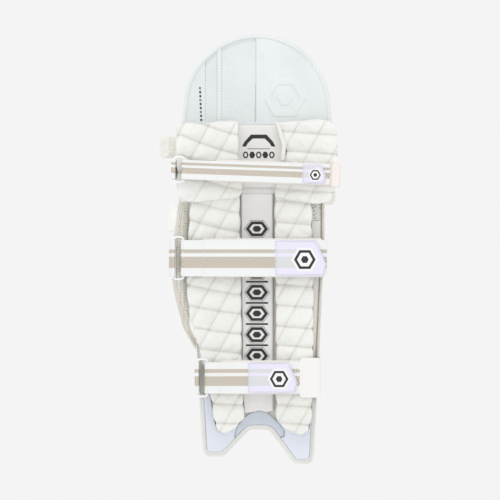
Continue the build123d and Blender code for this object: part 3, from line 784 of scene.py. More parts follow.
def quilt(name, node, plan, front, voxel=2.6, row_depth=6.0, slant_depth=3.4, stand=2.0,
          droop=0.0, top=None):
    """A quilted cushion: a soft copy whose seams are drawn in and whose cells swell.

    The front is the radius where it meets the pad. A top stretches its upper end to a height,
    and a droop lowers its lower end, more the further it stands from the pad.
    """
    piece = soft_copy(name, node, voxel, rounding=8)
    points = points_of(piece)
    if top:
        reach = top - points[:, 2].max()
        points[:, 2] += reach * np.clip((points[:, 2] - top + reach + 24.0) / 24.0, 0, 1)
    if droop:
        depth = np.clip((shell_y(points[:, 0], front) - points[:, 1]) / 25.0, 0, 1)
        points[:, 2] -= droop * depth * np.clip((425.0 - points[:, 2]) / 30.0, 0, 1)
    x, y, z = points.T
    row, slant = seam_distances(plan, x, z)
    hidden = y > shell_y(x, front) - 4.0
    outer = np.where(hidden, 0.0, 1.0)
    face = leg_facing(piece)
    rise = row_depth * (dome(row, ROW_REACH) - 1) * outer * np.maximum(face, 0.45)
    rise += slant_depth * (dome(slant, SLANT_REACH) - 1) * face + stand * face
    move_points(piece, points + normals_of(piece) * rise[:, None])
    held = hidden | ((row < 1.6) & (face > 0.1)) | ((slant < 1.3) & (face > 0.4))
    mean, most = swell(piece, held)
    print(f"{name}: cloth moved {mean:.2f} mm on average, {most:.1f} mm at most")
    apply_modifier(piece, "SUBSURF", levels=1, render_levels=1)
    points = points_of(piece)
    row, slant = seam_distances(plan, points[:, 0], points[:, 2])
    face = leg_facing(piece)
    crease = 0.9 * np.exp(-((row / 1.3) ** 2)) + 0.7 * np.exp(-((slant / 1.1) ** 2))
    move_points(piece, points - normals_of(piece) * (crease * face)[:, None])
    # painted shade, with a little dust, along the seams where the channels sink
    shade = 0.45 * np.exp(-((row / 1.5) ** 2)) + 0.3 * np.exp(-((slant / 1.2) ** 2))
    paint_points(piece, "seam", np.clip(shade, 0, 0.75) * face)
    smooth_shade(piece)
    return wear(piece, quilt_cloth)


def seam_lines(plan, high):
    """The rows and the slanting lines of a quilt, as lines of (x, z) points."""
    left, right = plan["edge"]
    across = np.linspace(left, right, 40)
    lines = []
    for seam in plan["rows"]:
        z = np.full_like(across, seam)
        for _ in range(6):
            z = z + seam - plan["level"](across, z)
        lines.append(np.stack([across, z], axis=1))
    for number in range(16):
        heights = np.linspace(plan["body_low"], high, 60)
        x = plan["first"] + number * plan["pitch"] + heights * SLOPE
        keep = (x > left) & (x < right)
        if keep.sum() > 2:
            lines.append(np.stack([x[keep], heights[keep]], axis=1))
    return lines


# %% [markdown]
# ## The four quilted cushions
# Two bolsters run up either side of the shin, and two deeper cushions sit beside the knee. The
# cover stands for both CAD pieces of a cushion, the skin and the foam in it, because its seams
# are drawn in deeper than the skin is thick.
# %% Make the quilts
quilted = {}
kinds = (
    # what it is called in the CAD, in its stitches' name, its front, its fill, its seams' top
    ("bolster", "bolster", BOLSTER_FRONT, 0.85, 384, dict(top=394.0)),
    ("knee_cushion", "knee", CUSHION_FRONT, 0.9, 516, dict(row_depth=5.5, stand=1.2, droop=9.0)),
)
for side in ("left", "right"):
    for kind, short, front, fill, high, shaping in kinds:
        name = f"{side}_{kind}"
        piece = quilt(f"{side}_quilted_{kind}", f"{name}_cover", quilts[name], front, **shaping)
        place(piece, "shin_pad", "quilt", f"{name}_cover", f"{name}_foam")
        sew(f"{side}_{short}_stitches", piece, seam_lines(quilts[name], high), "shin_pad", "quilt")
        quilted[name] = piece
print("quilts:", ", ".join(f"{k} {len(v.data.polygons)} faces" for k, v in quilted.items()))

# %% [markdown]
# ## Webbing follows its path
# A strap is flat webbing, so it is laid, not sculpted. A grid is added, one row of points for
# each step along the path, and every row is carried to its place: along the strap, in front of
# or behind its ring's bar, and across its width. The same step writes the flat map, in
# millimetres, that the stripes are woven by. Solidify then gives the webbing its thickness.
# %% Straps: where they run
joints = {joint["name"]: joint for joint in frame["joints"]}

# All in millimetres, on x where a place is meant: a strap's width, its tab's two ends and how
# far the tab's top corner is cut back, where the strap turns down at the pad's edge, where its
# cuff begins and how wide it is, how deep its tail goes, and where the free end's seam is.
# Stripes are shares of the width from the top edge, and the tilt is in degrees.
straps = {
    "knee": dict(
        width=32.0, tab=(75.0, 114.0), cut=8.0, end=137.5, cuff=121.0, cuff_width=38.0,
        tail=-12.0, seam=-68.0, stripes=(0.13, 0.27, 0.40, 0.70), tilt=2.0,
    ),
    "calf": dict(
        width=60.0, tab=(30.0, 115.0), cut=17.0, end=116.0, cuff=None, cuff_width=None,
        tail=2.0, seam=-90.0, stripes=(0.26, 0.36, 0.46, 0.77), tilt=0.0,
    ),
    "ankle": dict(
        width=52.0, tab=(-15.0, 67.0), cut=14.0, end=105.9, cuff=70.7, cuff_width=66.0,
        tail=2.0, seam=-62.0, stripes=(0.22, 0.34, 0.45, 0.755), tilt=0.0,
    ),
}
FOLD = 4.2  # the radius of the webbing's middle where it turns round the ring
THICK = 1.6
FREE = 2.0  # the free layer's place, in front of the ring's bars
BACKING = 1.1  # how far the backing tape lies behind the rear layer
TURN = 3.0  # the radius of the turn down at the pad's edge
FRONT_WAYS = np.array([0, 1, 0])
for name, strap in straps.items():
    strap["bar"] = np.array(joints[f"{name}_strap_open"]["pos_m"]) / MM
    strap["far_bar"] = np.array(joints[f"{name}_ring_swing"]["pos_m"]) / MM
    tilt = math.radians(strap["tilt"])
    strap["along"] = np.array([math.cos(tilt), 0, -math.sin(tilt)])
    strap["across"] = np.array([math.sin(tilt), 0, math.cos(tilt)])
    print(name, "bar at", np.round(strap["bar"], 1), "width", strap["width"])


def spot_on(strap, along, front, across=0.0):
    """A place given by the distances along, in front of and across a strap's bar."""
    return (
        strap["bar"] + strap["along"] * along + FRONT_WAYS * front
        + strap["across"] * across
    )


def reach_to(strap, x):
    """How far along the strap an x lies from its bar."""
    return (x - strap["bar"][0]) / strap["along"][0]


# %% Straps: ribbons


def add_grid(name, steps, rows):
    """A flat grid of steps by rows, and each point's step and its share across, from -0.5."""
    piece = add_shape(
        name, bpy.ops.mesh.primitive_grid_add,
        x_subdivisions=steps, y_subdivisions=rows, size=1, calc_uvs=True,
    )
    flat = points_of(piece) * MM
    return piece, np.rint((flat[:, 0] + 0.5) * steps).astype(int), flat[:, 1]


def map_grid(piece, run, across, start=0.0):
    """Rewrites a grid's flat map in millimetres: the run of its steps, and a rule across."""
    chart = piece.data.uv_layers[0]
    chart.name = "UVMap"
    corners = np.empty(len(piece.data.loops) * 2)
    chart.data.foreach_get("uv", corners)
    corners = corners.reshape(-1, 2)
    corners[:, 0] = start + np.interp(corners[:, 0], np.linspace(0, 1, len(run)), run)
    corners[:, 1] = across(corners[:, 1])
    chart.data.foreach_set("uv", corners.ravel())


def ribbon(name, strap, path, width, rows=9, start=0.0, wave=0.0, lift=0.0):
    """A flat grid that follows a path of (along, front) points, with its map in millimetres.

    The start is how far along the webbing's length it begins. A wave keeps it from lying dead
    flat, and a lift raises it across the strap.
    """
    path = np.asarray(path, dtype=float)
    run = run_of(path)
    piece, step, share = add_grid(name, len(path) - 1, rows - 1)
    front = path[step, 1] + wave * np.sin(run[step] / 17.0 + 1.0) * np.cos(share * 2.2)
    placed = (
        strap["bar"] + path[step, :1] * strap["along"] + front[:, None] * FRONT_WAYS
        + (share * width + lift)[:, None] * strap["across"]
    )
    move_points(piece, placed)
    map_grid(piece, run, lambda share: (1 - share) * width, start)
    return piece


def face_outwards(piece):
    """Turns all the faces of a closed piece to its outside."""
    with editing(piece):
        bpy.ops.mesh.normals_make_consistent(inside=False)


def thicken(piece, thickness, angle=40.0):
    """Gives a flat sheet a thickness either side of it, and faces it outwards."""
    apply_modifier(piece, "SOLIDIFY", thickness=thickness * MM, offset=0.0)
    face_outwards(piece)
    bpy.ops.object.shade_smooth_by_angle(angle=math.radians(angle))
    return piece


def arc(middle, radius, first, last, count):
    """Points on an arc, given by its middle, radius and two angles in degrees."""
    turn = np.radians(np.linspace(first, last, count))
    return [(middle[0] + radius * math.cos(t), middle[1] + radius * math.sin(t)) for t in turn]


def straight(first, last, count):
    """Evenly spaced points from one place to another, without the first."""
    return [tuple(p) for p in np.linspace(first, last, count + 1)[1:]]


def ease(first, last, count):
    """Points that leave level and arrive level, without the first."""
    share = np.linspace(0, 1, count + 1)[1:]
    smooth = share * share * (3 - 2 * share)
    return [
        (first[0] + (last[0] - first[0]) * s, first[1] + (last[1] - first[1]) * m)
        for s, m in zip(share, smooth)
    ]


# %% [markdown]
# ## The straps, from the sewn end to the fold
# Each strap is sewn at the pad's right edge, runs across the leg face to its ring, turns round
# the ring's bar and comes back over itself. The layer behind is one piece that runs between
# the pad and the ring, the fold is a second that runs between the ring and the free end, and
# the layer in front moves with the free end. A slightly wider tape backs the strap.
# %% Make the straps


def path_to(first, last, count):
    """A straight path with both its ends."""
    return [first] + straight(first, last, count)


def lay_strap(name, strap):
    """One strap: its rear layer, backing tape, cuff, fold and free end."""
    width = strap["width"]
    cloth = striped_webbing(f"{name}_striped_webbing", width, strap["stripes"])
    strap["cloth"] = cloth
    wrap = reach_to(strap, strap["end"]) - THICK / 2
    tail = strap["tail"] - strap["bar"][1]
    corner = arc((wrap - TURN, FOLD + TURN), TURN, -90, 0, 6)
    turn_down = corner[1:] + straight(corner[-1], (wrap, tail), 8)
    ring, free = f"{name}_ring", f"{name}_strap_free"
    if strap["cuff"] is None:
        path = path_to((0.0, FOLD), corner[0], 60) + turn_down
    else:
        cuff_at = reach_to(strap, strap["cuff"])
        path = path_to((0.0, FOLD), (cuff_at + 1.5, FOLD), 60)
    rear = thicken(ribbon(f"{name}_strap_rear", strap, path, width, start=20.0), THICK)
    wear(rear, cloth)
    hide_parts(f"{name}_strap_base")
    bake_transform(rear)

    back_from = reach_to(strap, strap["seam"])
    back_to = reach_to(strap, strap["end"]) - 9.0
    path = path_to((back_from, FOLD + BACKING), (back_to, FOLD + BACKING), 40)
    backing = ribbon(f"{name}_backing_tape", strap, path, width + 4.4, wave=0.15, lift=0.6)
    place(wear(thicken(backing, 0.7), backing_tape), "shin_pad", "elastic_cuff")

    if strap["cuff"] is not None:
        path = path_to((cuff_at, FOLD), corner[0], 16) + turn_down
        cuff = ribbon(f"{name}_elastic_cuff", strap, path, strap["cuff_width"], rows=15)
        cut_corners(cuff, strap, cuff_at, strap["cuff_width"])
        knit = rose_cuff if name == "knee" else cuff_elastic
        place(wear(thicken(cuff, THICK + 0.3), knit), "shin_pad", "elastic_cuff",
              f"{name}_strap_cuff")
        if name == "knee":
            strip = [(cuff_at + step, FOLD - 1.1) for step in (-0.5, 1.2, 3.0)]
            trim = thicken(ribbon("knee_cuff_trim", strap, strip, strap["cuff_width"]), 0.5)
            place(wear(trim, anchor_tape), "shin_pad", "webbing")

    fold = arc((0, 0), FOLD, 90, 270, 17)
    turned = thicken(ribbon(f"{name}_strap_fold", strap, fold, width, start=6.8), THICK)
    wear(turned, cloth)
    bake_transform(turned)

    lap = reach_to(strap, strap["tab"][0]) + 8.0
    level, landed = (4.0, -FOLD), (44.0, FREE)  # it leaves the ring's bar and meets the rear
    path = path_to((0.0, -FOLD), level, 2) + ease(level, landed, 16)
    path += straight(landed, (lap, FREE), 40)
    front = thicken(ribbon(f"{name}_strap_front", strap, path, width, wave=0.2), THICK)
    place(wear(front, cloth), free, "webbing", f"{name}_strap_end")
    at = reach_to(strap, strap["seam"])
    seams = [
        [spot_on(strap, at + shift, -20, s) for s in (-width / 2 + 2, width / 2 - 2)]
        for shift in (0.0, 2.2)
    ]
    sew(f"{name}_strap_seam", front, seams, free, "webbing", pitch=3.2, length=2.0,
        thickness=0.6, material=pale_thread)
    return rear, front


def cut_corners(piece, strap, along, width, size=3.5):
    """Trims the two corners of a cuff's free edge."""
    for side in (-1, 1):
        corner = spot_on(strap, along, FOLD, side * (width / 2 - size)) * MM
        slope = (-strap["along"] + strap["across"] * side) / math.sqrt(2)
        with editing(piece):
            bpy.ops.mesh.bisect(plane_co=tuple(corner), plane_no=tuple(slope), clear_outer=True)


for name, strap in straps.items():
    lay_strap(name, strap)
print("straps laid:", ", ".join(straps))

# %% [markdown]
# ## Loop rings
# A ring is a closed wire of moulded plastic with rounded corners. It is drawn as a flat loop: a
# plane with its corners bevelled, its face removed, the edge turned to a curve with a round
# section, and the result made a mesh again. Its two upright bars lie where the joints turn.
# %% Make the rings
WIRE = 1.8  # the wire's radius
RING_ROOM = 3.5  # from the strap's edge to the middle of the wire
RING_CORNER = 4.5
RING_ARCH = 1.6  # how far its two ends bow out


def mould_ring(name, strap):
    """A loop ring round its strap, with arched ends."""
    high = strap["width"] / 2 + RING_ROOM
    wide = strap["bar"][0] - strap["far_bar"][0]
    middle = (strap["bar"] + strap["far_bar"]) / 2
    ring = add_shape(f"{name}_loop_ring", bpy.ops.mesh.primitive_plane_add, size=1)
    with editing(ring):
        bpy.ops.transform.resize(value=(wide * MM, 2 * high * MM, 1))
        bpy.ops.mesh.bevel(offset=RING_CORNER * MM, segments=6, affect="VERTICES")
        bpy.ops.mesh.select_all(action="SELECT")
        bpy.ops.mesh.subdivide(number_cuts=1)
        bpy.ops.mesh.delete(type="ONLY_FACE")
    shape = points_of(ring)
    arch = RING_ARCH * np.clip((np.abs(shape[:, 1]) - high + 6) / 6, 0, 1)
    arch *= 1 - (2 * shape[:, 0] / wide) ** 2
    rise = shape[:, 1] + np.sign(shape[:, 1]) * arch
    placed = middle + shape[:, :1] * strap["along"] + rise[:, None] * strap["across"]
    move_points(ring, placed)
    only(ring)
    bpy.ops.object.convert(target="CURVE")
    ring.data.bevel_depth = WIRE * MM
    ring.data.bevel_resolution = 4
    bpy.ops.object.convert(target="MESH")
    ring = bpy.context.object
    smooth_shade(ring)
    place(wear(ring, ring_acetal), f"{name}_ring", "ring_plastic", f"{name}_ring")
    return ring


for name, strap in straps.items():
    ring = mould_ring(name, strap)
    print(ring.name, "faces:", len(ring.data.polygons))

# %% [markdown]
# ## Ring anchors
# A short doubled tape holds each ring to the pad: it comes off the pad's side, goes round the
# ring's outer bar and returns. Two of the paths are worked out from the bar's place and the CAD
# anchor's box, and the calf's from the wing that it lies along.
# %% Make the ring anchors
WING_ROOT = np.array([-119.2, -22.5])
WING_TURN = math.radians(58)  # how far the wing and the calf anchor turn from the strap's way
WING_OUT = np.array([-0.848, 0.530])
ANCHOR_THICK = 1.4
ANCHOR_HALF = 0.85  # how far each layer lies from the doubled tape's middle


def calf_tail(strap):
    """The calf anchor lies along the wing's outer face."""
    along = np.array([-math.cos(WING_TURN), -math.sin(WING_TURN)])
    root = WING_ROOT - strap["far_bar"][:2]
    root = root + WING_OUT * 4.4
    return [tuple(root + along * 41), tuple(root + along * 12)]


def anchor_tail(name, strap):
    """Where an anchor runs to, as (along, front) points from the outer bar."""
    if name == "calf":
        return calf_tail(strap)
    low, high = (np.array(corner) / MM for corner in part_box(f"{name}_ring_anchor"))
    far = strap["far_bar"]
    side, root = low[0] + 2.2 - far[0], high[0] - 2.0 - far[0]
    if name == "knee":
        return [(side, 12), (side, 25), (root, 42), (root, 62)]
    return [(root, 12), (root, 59)]


def anchor_ring(name, strap):
    """A doubled tape round a ring's outer bar."""
    tail = anchor_tail(name, strap)
    first = np.array(tail[0], dtype=float)
    heading = math.degrees(math.atan2(first[1], first[0]))
    loop = arc((0, 0), 3.0, heading + 75, heading + 285, 15)
    side = np.array([-first[1], first[0]]) / np.linalg.norm(first)
    offset = [tuple(np.array(p) + side * ANCHOR_HALF) for p in tail]
    other = [tuple(np.array(p) - side * ANCHOR_HALF) for p in tail]
    path = offset[::-1] + loop + other
    shifted = dict(strap, bar=strap["far_bar"])
    tape = ribbon(f"{name}_anchor_tape", shifted, path, strap["width"])
    thicken(tape, ANCHOR_THICK)
    place(wear(tape, strap["cloth"]), "shin_pad", "webbing", f"{name}_ring_anchor")


for name, strap in straps.items():
    anchor_ring(name, strap)
print("anchors sewn")

# %% [markdown]
# ## Pull tabs and a printed mark
# A pull tab is a stiff coated patch with one corner cut back, sewn to the strap's free end. It
# is a ribbon cut by two planes. The mark printed on it is a plain nested hexagon: a hexagon
# is added as a flat disc with six corners, and an inset turns it into a ring.
# %% Helper: printed shapes
INK_THICK = 0.16
PRINT_CUTS = 2  # how finely a shape is cut, so that it follows the cloth


def hexagon(middle, wide, high):
    """The six corners of a hexagon, as (x, z) points."""
    turns = [math.radians(60 * k) for k in range(6)]
    return [(middle[0] + wide * math.cos(t), middle[1] + high * math.sin(t)) for t in turns]


def bar_shape(middle, wide, high):
    """The corners of an upright rectangle, as (x, z) points."""
    return [
        (middle[0] + a * wide, middle[1] + b * high)
        for a, b in ((-1, -1), (1, -1), (1, 1), (-1, 1))
    ]


def print_shape(name, outline, ink, surface, body, slot, stroke=None, lift=0.12):
    """A printed shape laid on a surface that is seen from the leg's side.

    With a stroke, only a line of that width inside the outline is printed.
    """
    shape = add_shape(
        name, bpy.ops.mesh.primitive_circle_add,
        vertices=len(outline), radius=1, fill_type="NGON",
    )
    move_points(shape, [(x, z, 0) for x, z in outline])
    with editing(shape):
        if stroke:
            bpy.ops.mesh.inset(thickness=stroke * MM, depth=0)
            bpy.ops.mesh.delete(type="FACE")
            bpy.ops.mesh.select_all(action="SELECT")
        bpy.ops.mesh.quads_convert_to_tris()
        bpy.ops.mesh.subdivide(number_cuts=PRINT_CUTS)
    points = points_of(shape)
    placed = []
    for x, z, _ in points:
        start = Vector((x * MM, -LOOK_FROM * MM, z * MM))
        spot, _, _, _ = surface.ray_cast(start, Vector((0, 1, 0)), LOOK_FAR * MM)
        y = spot.y / MM if spot is not None else points[0, 1]
        placed.append((x, y - lift, z))
    move_points(shape, placed)
    apply_modifier(shape, "SOLIDIFY", thickness=INK_THICK * MM, offset=0.0)
    face_outwards(shape)
    return place(wear(shape, ink), body, slot)


def nested_hexagon(name, middle, size, surface, body, slot):
    """The plain mark: a white hexagon with a black ring and a black heart."""
    x, z = middle
    print_shape(f"{name}_ground", hexagon(middle, size * 1.25, size * 1.25), white_ink, surface,
                body, slot, lift=0.1)
    print_shape(f"{name}_ring", hexagon(middle, size, size), black_ink, surface, body, slot,
                stroke=size * 0.24, lift=0.22)
    print_shape(f"{name}_heart", hexagon(middle, size * 0.36, size * 0.36), black_ink, surface,
                body, slot, lift=0.22)


# %% Make the pull tabs
TAB_MARGIN = 1.0  # how far the tab stays inside the strap's edges
TAB_THICK = 1.4
TAB_CORNER = 5.0  # how much its lower right corner is cut back
STITCH_MARGIN = 1.6  # how far the stitches stay inside the tab's edge


def tab_material(name, strap):
    """Lavender coated cloth, with the strap's stripes carried on in grey at its left."""
    material = new_material(name, Roughness=0.5, Sheen_Weight=0.1)
    along, across, spot = flat_map(material)
    length = strap["tab"][1] - strap["tab"][0]
    bands = stripes_at(material, across, strap["width"], strap["stripes"], TAB_MARGIN, 0.15)
    near = reshape(material, along, length * 0.52, length * 0.56, 1.0, 0.0)
    printed = combine(material, "MULTIPLY", bands, near)
    grain = add_node(material, "TexVoronoi", None, Vector=spot, Scale=0.9).outputs["Distance"]
    ground = blend_colours(material, grain, "#ECE9F8", "#E2DEF3")
    feed(material, "Base Color", blend_colours(material, printed, ground, "#D8D9DB"))
    feed(material, "Normal", raise_by(material, grain, 0.05))
    return material


def make_tab(name, strap):
    """A pull tab on a strap's free end, its corners cut, with its edge stitched."""
    left, right = (reach_to(strap, x) for x in strap["tab"])
    high = strap["width"] / 2 - TAB_MARGIN
    face = FREE - THICK / 2 - 0.1 - TAB_THICK / 2
    path = path_to((left, face), (right, face), 30)
    tab = ribbon(f"{name}_pull_tab", strap, path, 2 * high, rows=13)
    cuts = (
        ((right - TAB_CORNER, -high), (right, -0.35 * high)),
        ((right, -0.35 * high), (right - strap["cut"], high)),
    )
    for first, last in cuts:
        edge = np.array(last) - np.array(first)
        slope = strap["along"] * edge[1] - strap["across"] * edge[0]
        with editing(tab):
            bpy.ops.mesh.bisect(
                plane_co=tuple(spot_on(strap, first[0], face, first[1]) * MM),
                plane_no=tuple(slope / np.linalg.norm(slope)), clear_outer=True,
            )
    thicken(tab, TAB_THICK)
    free = f"{name}_strap_free"
    place(wear(tab, tab_material(f"{name}_lavender_pu", strap)), free, "pull_tab",
          f"{name}_strap_tab")
    m = STITCH_MARGIN
    ring = [
        (left + m, high - m), (left + m, -high + m),
        (right - TAB_CORNER - m * 0.4, -high + m), (right - m, -0.35 * high),
        (right - strap["cut"] - m, high - m), (left + m, high - m),
    ]
    line = [spot_on(strap, a, -20, c) for a, c in ring]
    sew(f"{name}_tab_stitches", tab, [line], free, "pull_tab", pitch=3.2, length=2.0,
        thickness=0.7, material=tab_thread)
    size = high * 0.62
    middle = spot_on(strap, right - strap["cut"] - size * 1.05, 0, -high * 0.08)
    nested_hexagon(f"{name}_tab_mark", (middle[0], middle[2]), size, surface_of(tab), free,
                   "pull_tab")
    return tab


for name, strap in straps.items():
    tab = make_tab(name, strap)
    print(tab.name, "faces:", len(tab.data.polygons))

# %% [markdown]
# ## The band down the spine and the knee cup
# Between the bolsters a flat, cloth-covered band runs down the spine, and above it a panel
# closes the knee cup. Both are soft copies with a light rounding, so their edges sink beside
# the cushions. A ladder of outlined hexagons and bars is printed down the band.
# %% Make the spine band and the knee panel
SPINE_HALF = 27.0  # half the band's width
PRINT_PITCH = 35.5  # from one hexagon down the band to the next
PRINTS = 7

band = soft_copy("spine_band_cover", "spine_band", 1.8, rounding=5, radii=(-LEG_RADIUS,))
points = points_of(band)
face = leg_facing(band)
edge = np.minimum(points[:, 0] + SPINE_HALF, SPINE_HALF - points[:, 0])
crown = 0.9 * dome(edge, 9.0) * face
move_points(band, points - np.array([0, 1, 0]) * crown[:, None])
# a painted shadow line along the band's edges, where they sink beside the bolsters
paint_points(band, "seam", 0.8 * np.exp(-((edge / 1.4) ** 2)))
place(wear(band, spine_cloth), "shin_pad", "spine", "spine_band")

# The panel's top is raised and drawn towards the leg, to close the gap under the flap.
panel = soft_copy("knee_cup_cover", "knee_cup_panel", 1.6, rounding=3, radii=(-CUP_FACE,))
points = points_of(panel)
upper = np.clip((points[:, 2] - 484.0) / 20.0, 0, 1)
move_points(panel, points + np.stack([0 * upper, -2.6 * upper, 7.0 * upper], axis=1))
place(wear(panel, cup_cloth), "shin_pad", "spine", "knee_cup_panel")

band_face = surface_of(band)
for index in range(PRINTS):
    z = 337.0 - index * PRINT_PITCH
    shapes = [
        # its name, its outline and the width of its line, or None if it is filled
        ("line", hexagon((0.0, z), 21.4, 16.8), 0.7),
        ("ring", hexagon((0.0, z), 18.8, 14.4), 4.8),
        ("heart", hexagon((0.0, z), 7.6, 5.6), None),
        ("bar", bar_shape((0, z - PRINT_PITCH / 2), 18.5, 1.5), None),
    ]
    for part, outline, stroke in shapes if index < PRINTS - 1 else shapes[:-1]:
        print_shape(f"spine_print_{index + 1}_{part}", outline, black_ink, band_face,
                    "shin_pad", "spine", stroke=stroke)
panel_face = surface_of(panel)
arch_points = [
    (-25, 475), (-21, 483), (-10, 495), (16, 495), (27, 483), (31, 475), (24.5, 475),
    (21, 481), (13, 488.5), (-7, 488.5), (-15, 481), (-18.5, 475),
]
print_shape("knee_print_arch", arch_points, black_ink, panel_face, "shin_pad", "spine")
print_shape("knee_print_line", bar_shape((3, 471.2), 19, 0.5), black_ink, panel_face,
            "shin_pad", "spine")
for index in range(5):
    x = -19.0 + index * 11.0
    print_shape(f"knee_print_bead_{index + 1}", hexagon((x, 461.0), 5.0, 6.2), black_ink,
                panel_face, "shin_pad", "spine", stroke=None if index % 2 else 2.2)
print("spine band and knee panel printed")

# %% [markdown]
# ## Edging beside the knee hollow
# The knee cushions' inner edges are bound with white tape. The CAD strips give the place; a
# light rounding turns them from slats into folded tape. The tape is swollen and brought
# forward, so that it stands clear of the cushions beside it.
# %% Make the inner bindings
edging = soft_copy("knee_inner_bindings", "knee_cushion_bindings", 1.1, rounding=2)
folded = points_of(edging) + normals_of(edging) * 2.1 - np.array([0, 5.0, 0])
move_points(edging, folded)
place(wear(edging, binding_tape), "shin_pad", "edge_binding", "knee_cushion_bindings")
print("inner bindings done")

# %% [markdown]
# ## The foot
# Two pads lie over the instep and a third, thinner one lines the arch. They are foam under
# nylon, and a stitched binding goes round the foot. Each is a soft copy with rounded edges.
# %% Make the foot pads and their binding
TOE_ROUND = 14.0  # the radius of the foot's two outer corners
TOES = ((-1, 92.0, -44.5), (1, 96.0, -57.0))  # which side, how far out, and how low each is


def round_toes(piece):
    """Rounds the foot's outer corners: a square of points is drawn in to a circle."""
    points = points_of(piece)
    for side, reach, low in TOES:
        out = side * points[:, 0] - reach + TOE_ROUND
        down = low + TOE_ROUND - points[:, 2]
        inside = (out > 0) & (down > 0)
        shrink = 1 - np.maximum(out, down) / np.maximum(np.hypot(out, down), 1e-6)
        points[:, 0] -= side * out * shrink * inside
        points[:, 2] += down * shrink * inside
    move_points(piece, points)


for name, cloth, node, round_off in (
    ("left_instep_cushion", instep_cloth, "left_instep_pad", 9),
    ("right_instep_cushion", instep_cloth, "right_instep_pad", 9),
    ("arch_cushion", arch_cloth, "arch_pad", 8),
):
    pad = soft_copy(name, node, 1.6, rounding=round_off, radii=(-ARCH_FACE, -INSTEP_FACE))
    round_toes(pad)
    place(wear(pad, cloth), "shin_pad", "instep_fabric", node)
binding = soft_copy("foot_binding", "instep_binding", 1.1, rounding=4, radii=(-EDGE_FACE,))
round_toes(binding)
place(wear(binding, binding_tape), "shin_pad", "edge_binding", "instep_binding")

# The stitches follow the pads' outline: down the left, round each toe and over the arch.
foot_line = (
    [(-88.0, 60.0), (-86.6, -30.0)] + arc((-81.0, -36.0), 5.0, 180, 250, 6)
    + [(-60.0, -41.0), (-54.0, -39.8), (-50.5, -37.5)]
    + [(-36.0, -20.0), (-22.0, -5.5), (-12.0, 2.2), (-2.0, 4.2), (12.0, 4.2), (22.0, 1.2)]
    + [(32.0, -11.0), (48.0, -31.5), (62.0, -50.0), (66.5, -52.9)]
    + arc((85.5, -47.5), 5.5, 270, 350, 6) + [(92.0, -30.0), (96.6, 60.0)]
)
sew("foot_binding_stitches", binding, [foot_line], "shin_pad", "edge_binding", pitch=3.6,
    length=2.4, thickness=0.7)

# %% [markdown]
# ## The right edge
# Right of the right bolster lie a plain panel and a patch of vent mesh, and a twisted cord
# runs down the shell's edge. The cord is a tube: a flat grid is rolled round the path, so its
# flat map runs along and round it, and the strands follow that map.
# %% Make the right edge
side_strip = soft_copy("plain_side_panel", "side_panel", 1.2, rounding=3, radii=(-EDGE_FACE,))
place(wear(side_strip, side_cloth), "shin_pad", "quilt", "side_panel")
vent = soft_copy("vent_patch", "side_mesh_patch", 1.1, rounding=3, radii=(-EDGE_FACE,))
place(wear(vent, vent_mesh), "shin_pad", "vent_mesh", "side_mesh_patch")


def close_ends(piece, closing):
    """Joins a rolled grid's meeting edges, and closes its two open ends."""
    with editing(piece):
        bpy.ops.mesh.remove_doubles(threshold=MERGE * MM)
        bpy.ops.mesh.select_all(action="DESELECT")
        bpy.ops.mesh.select_non_manifold()
        closing()
        bpy.ops.mesh.select_all(action="SELECT")
        bpy.ops.mesh.normals_make_consistent(inside=False)


def tube(name, path, radius, material, body, slot, sides=10, bulge=0.0, step=3.0):
    """A round cord along a path of (x, y, z) points, with its map in millimetres."""
    path = spread(np.asarray(path, dtype=float), step)
    run = run_of(path)
    piece, row, share = add_grid(name, len(path) - 1, sides)
    turn = (share + 0.5) * 2 * math.pi
    ahead = np.gradient(path, axis=0)
    ahead /= np.linalg.norm(ahead, axis=1, keepdims=True)
    side = np.cross(ahead, FRONT_WAYS.astype(float))
    side /= np.linalg.norm(side, axis=1, keepdims=True)
    up = np.cross(side, ahead)
    strand = bulge * np.cos(2 * turn + run[row] * 2 * math.pi / CORD_LAY)
    size = (radius + strand)[:, None]
    around = np.cos(turn)[:, None] * side[row] + np.sin(turn)[:, None] * up[row]
    move_points(piece, path[row] + around * size)
    map_grid(piece, run, lambda share: share * (2 * math.pi * radius))
    close_ends(piece, bpy.ops.mesh.fill)
    smooth_shade(piece)
    return place(wear(piece, material), body, slot)


FOOT_RIGHT, CALF_RIGHT = 95.0, 112.0  # the shell's right edge, at its foot and at the calf
FOOT_LOW, CALF_AT = 57.0, 318.0  # how far they lie under and over the height 0
CORD_LAY = 8.0  # how far a cord's strand runs in one turn


def right_edge(z):
    """The shell's right edge: widening up to the calf, then straight."""
    climb = np.minimum((z + FOOT_LOW) / (FOOT_LOW + CALF_AT), 1.0)
    return FOOT_RIGHT + (CALF_RIGHT - FOOT_RIGHT) * climb


heights = np.linspace(62, 381, 80)
edge_x = right_edge(heights)
cord_path = np.stack([edge_x - 1.6, shell_y(edge_x - 2, CORD_RADIUS) - 1.0, heights], axis=1)
side_cord = tube("twisted_side_cord", cord_path, 2.3, edge_cord, "shin_pad", "edge_binding",
                 sides=12, bulge=0.35, step=1.2)
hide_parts("side_piping")
# a thin dark tube just inside the cord: painted shadow in the crease between the side panel and
# the cord
crease_shadow_path = cord_path + np.array([-3.4, -0.6, 0])
tube("side_crease_shadow", crease_shadow_path, 0.9, painted_crease_shadow, "shin_pad", "edge_binding", sides=6)
print("right edge done")

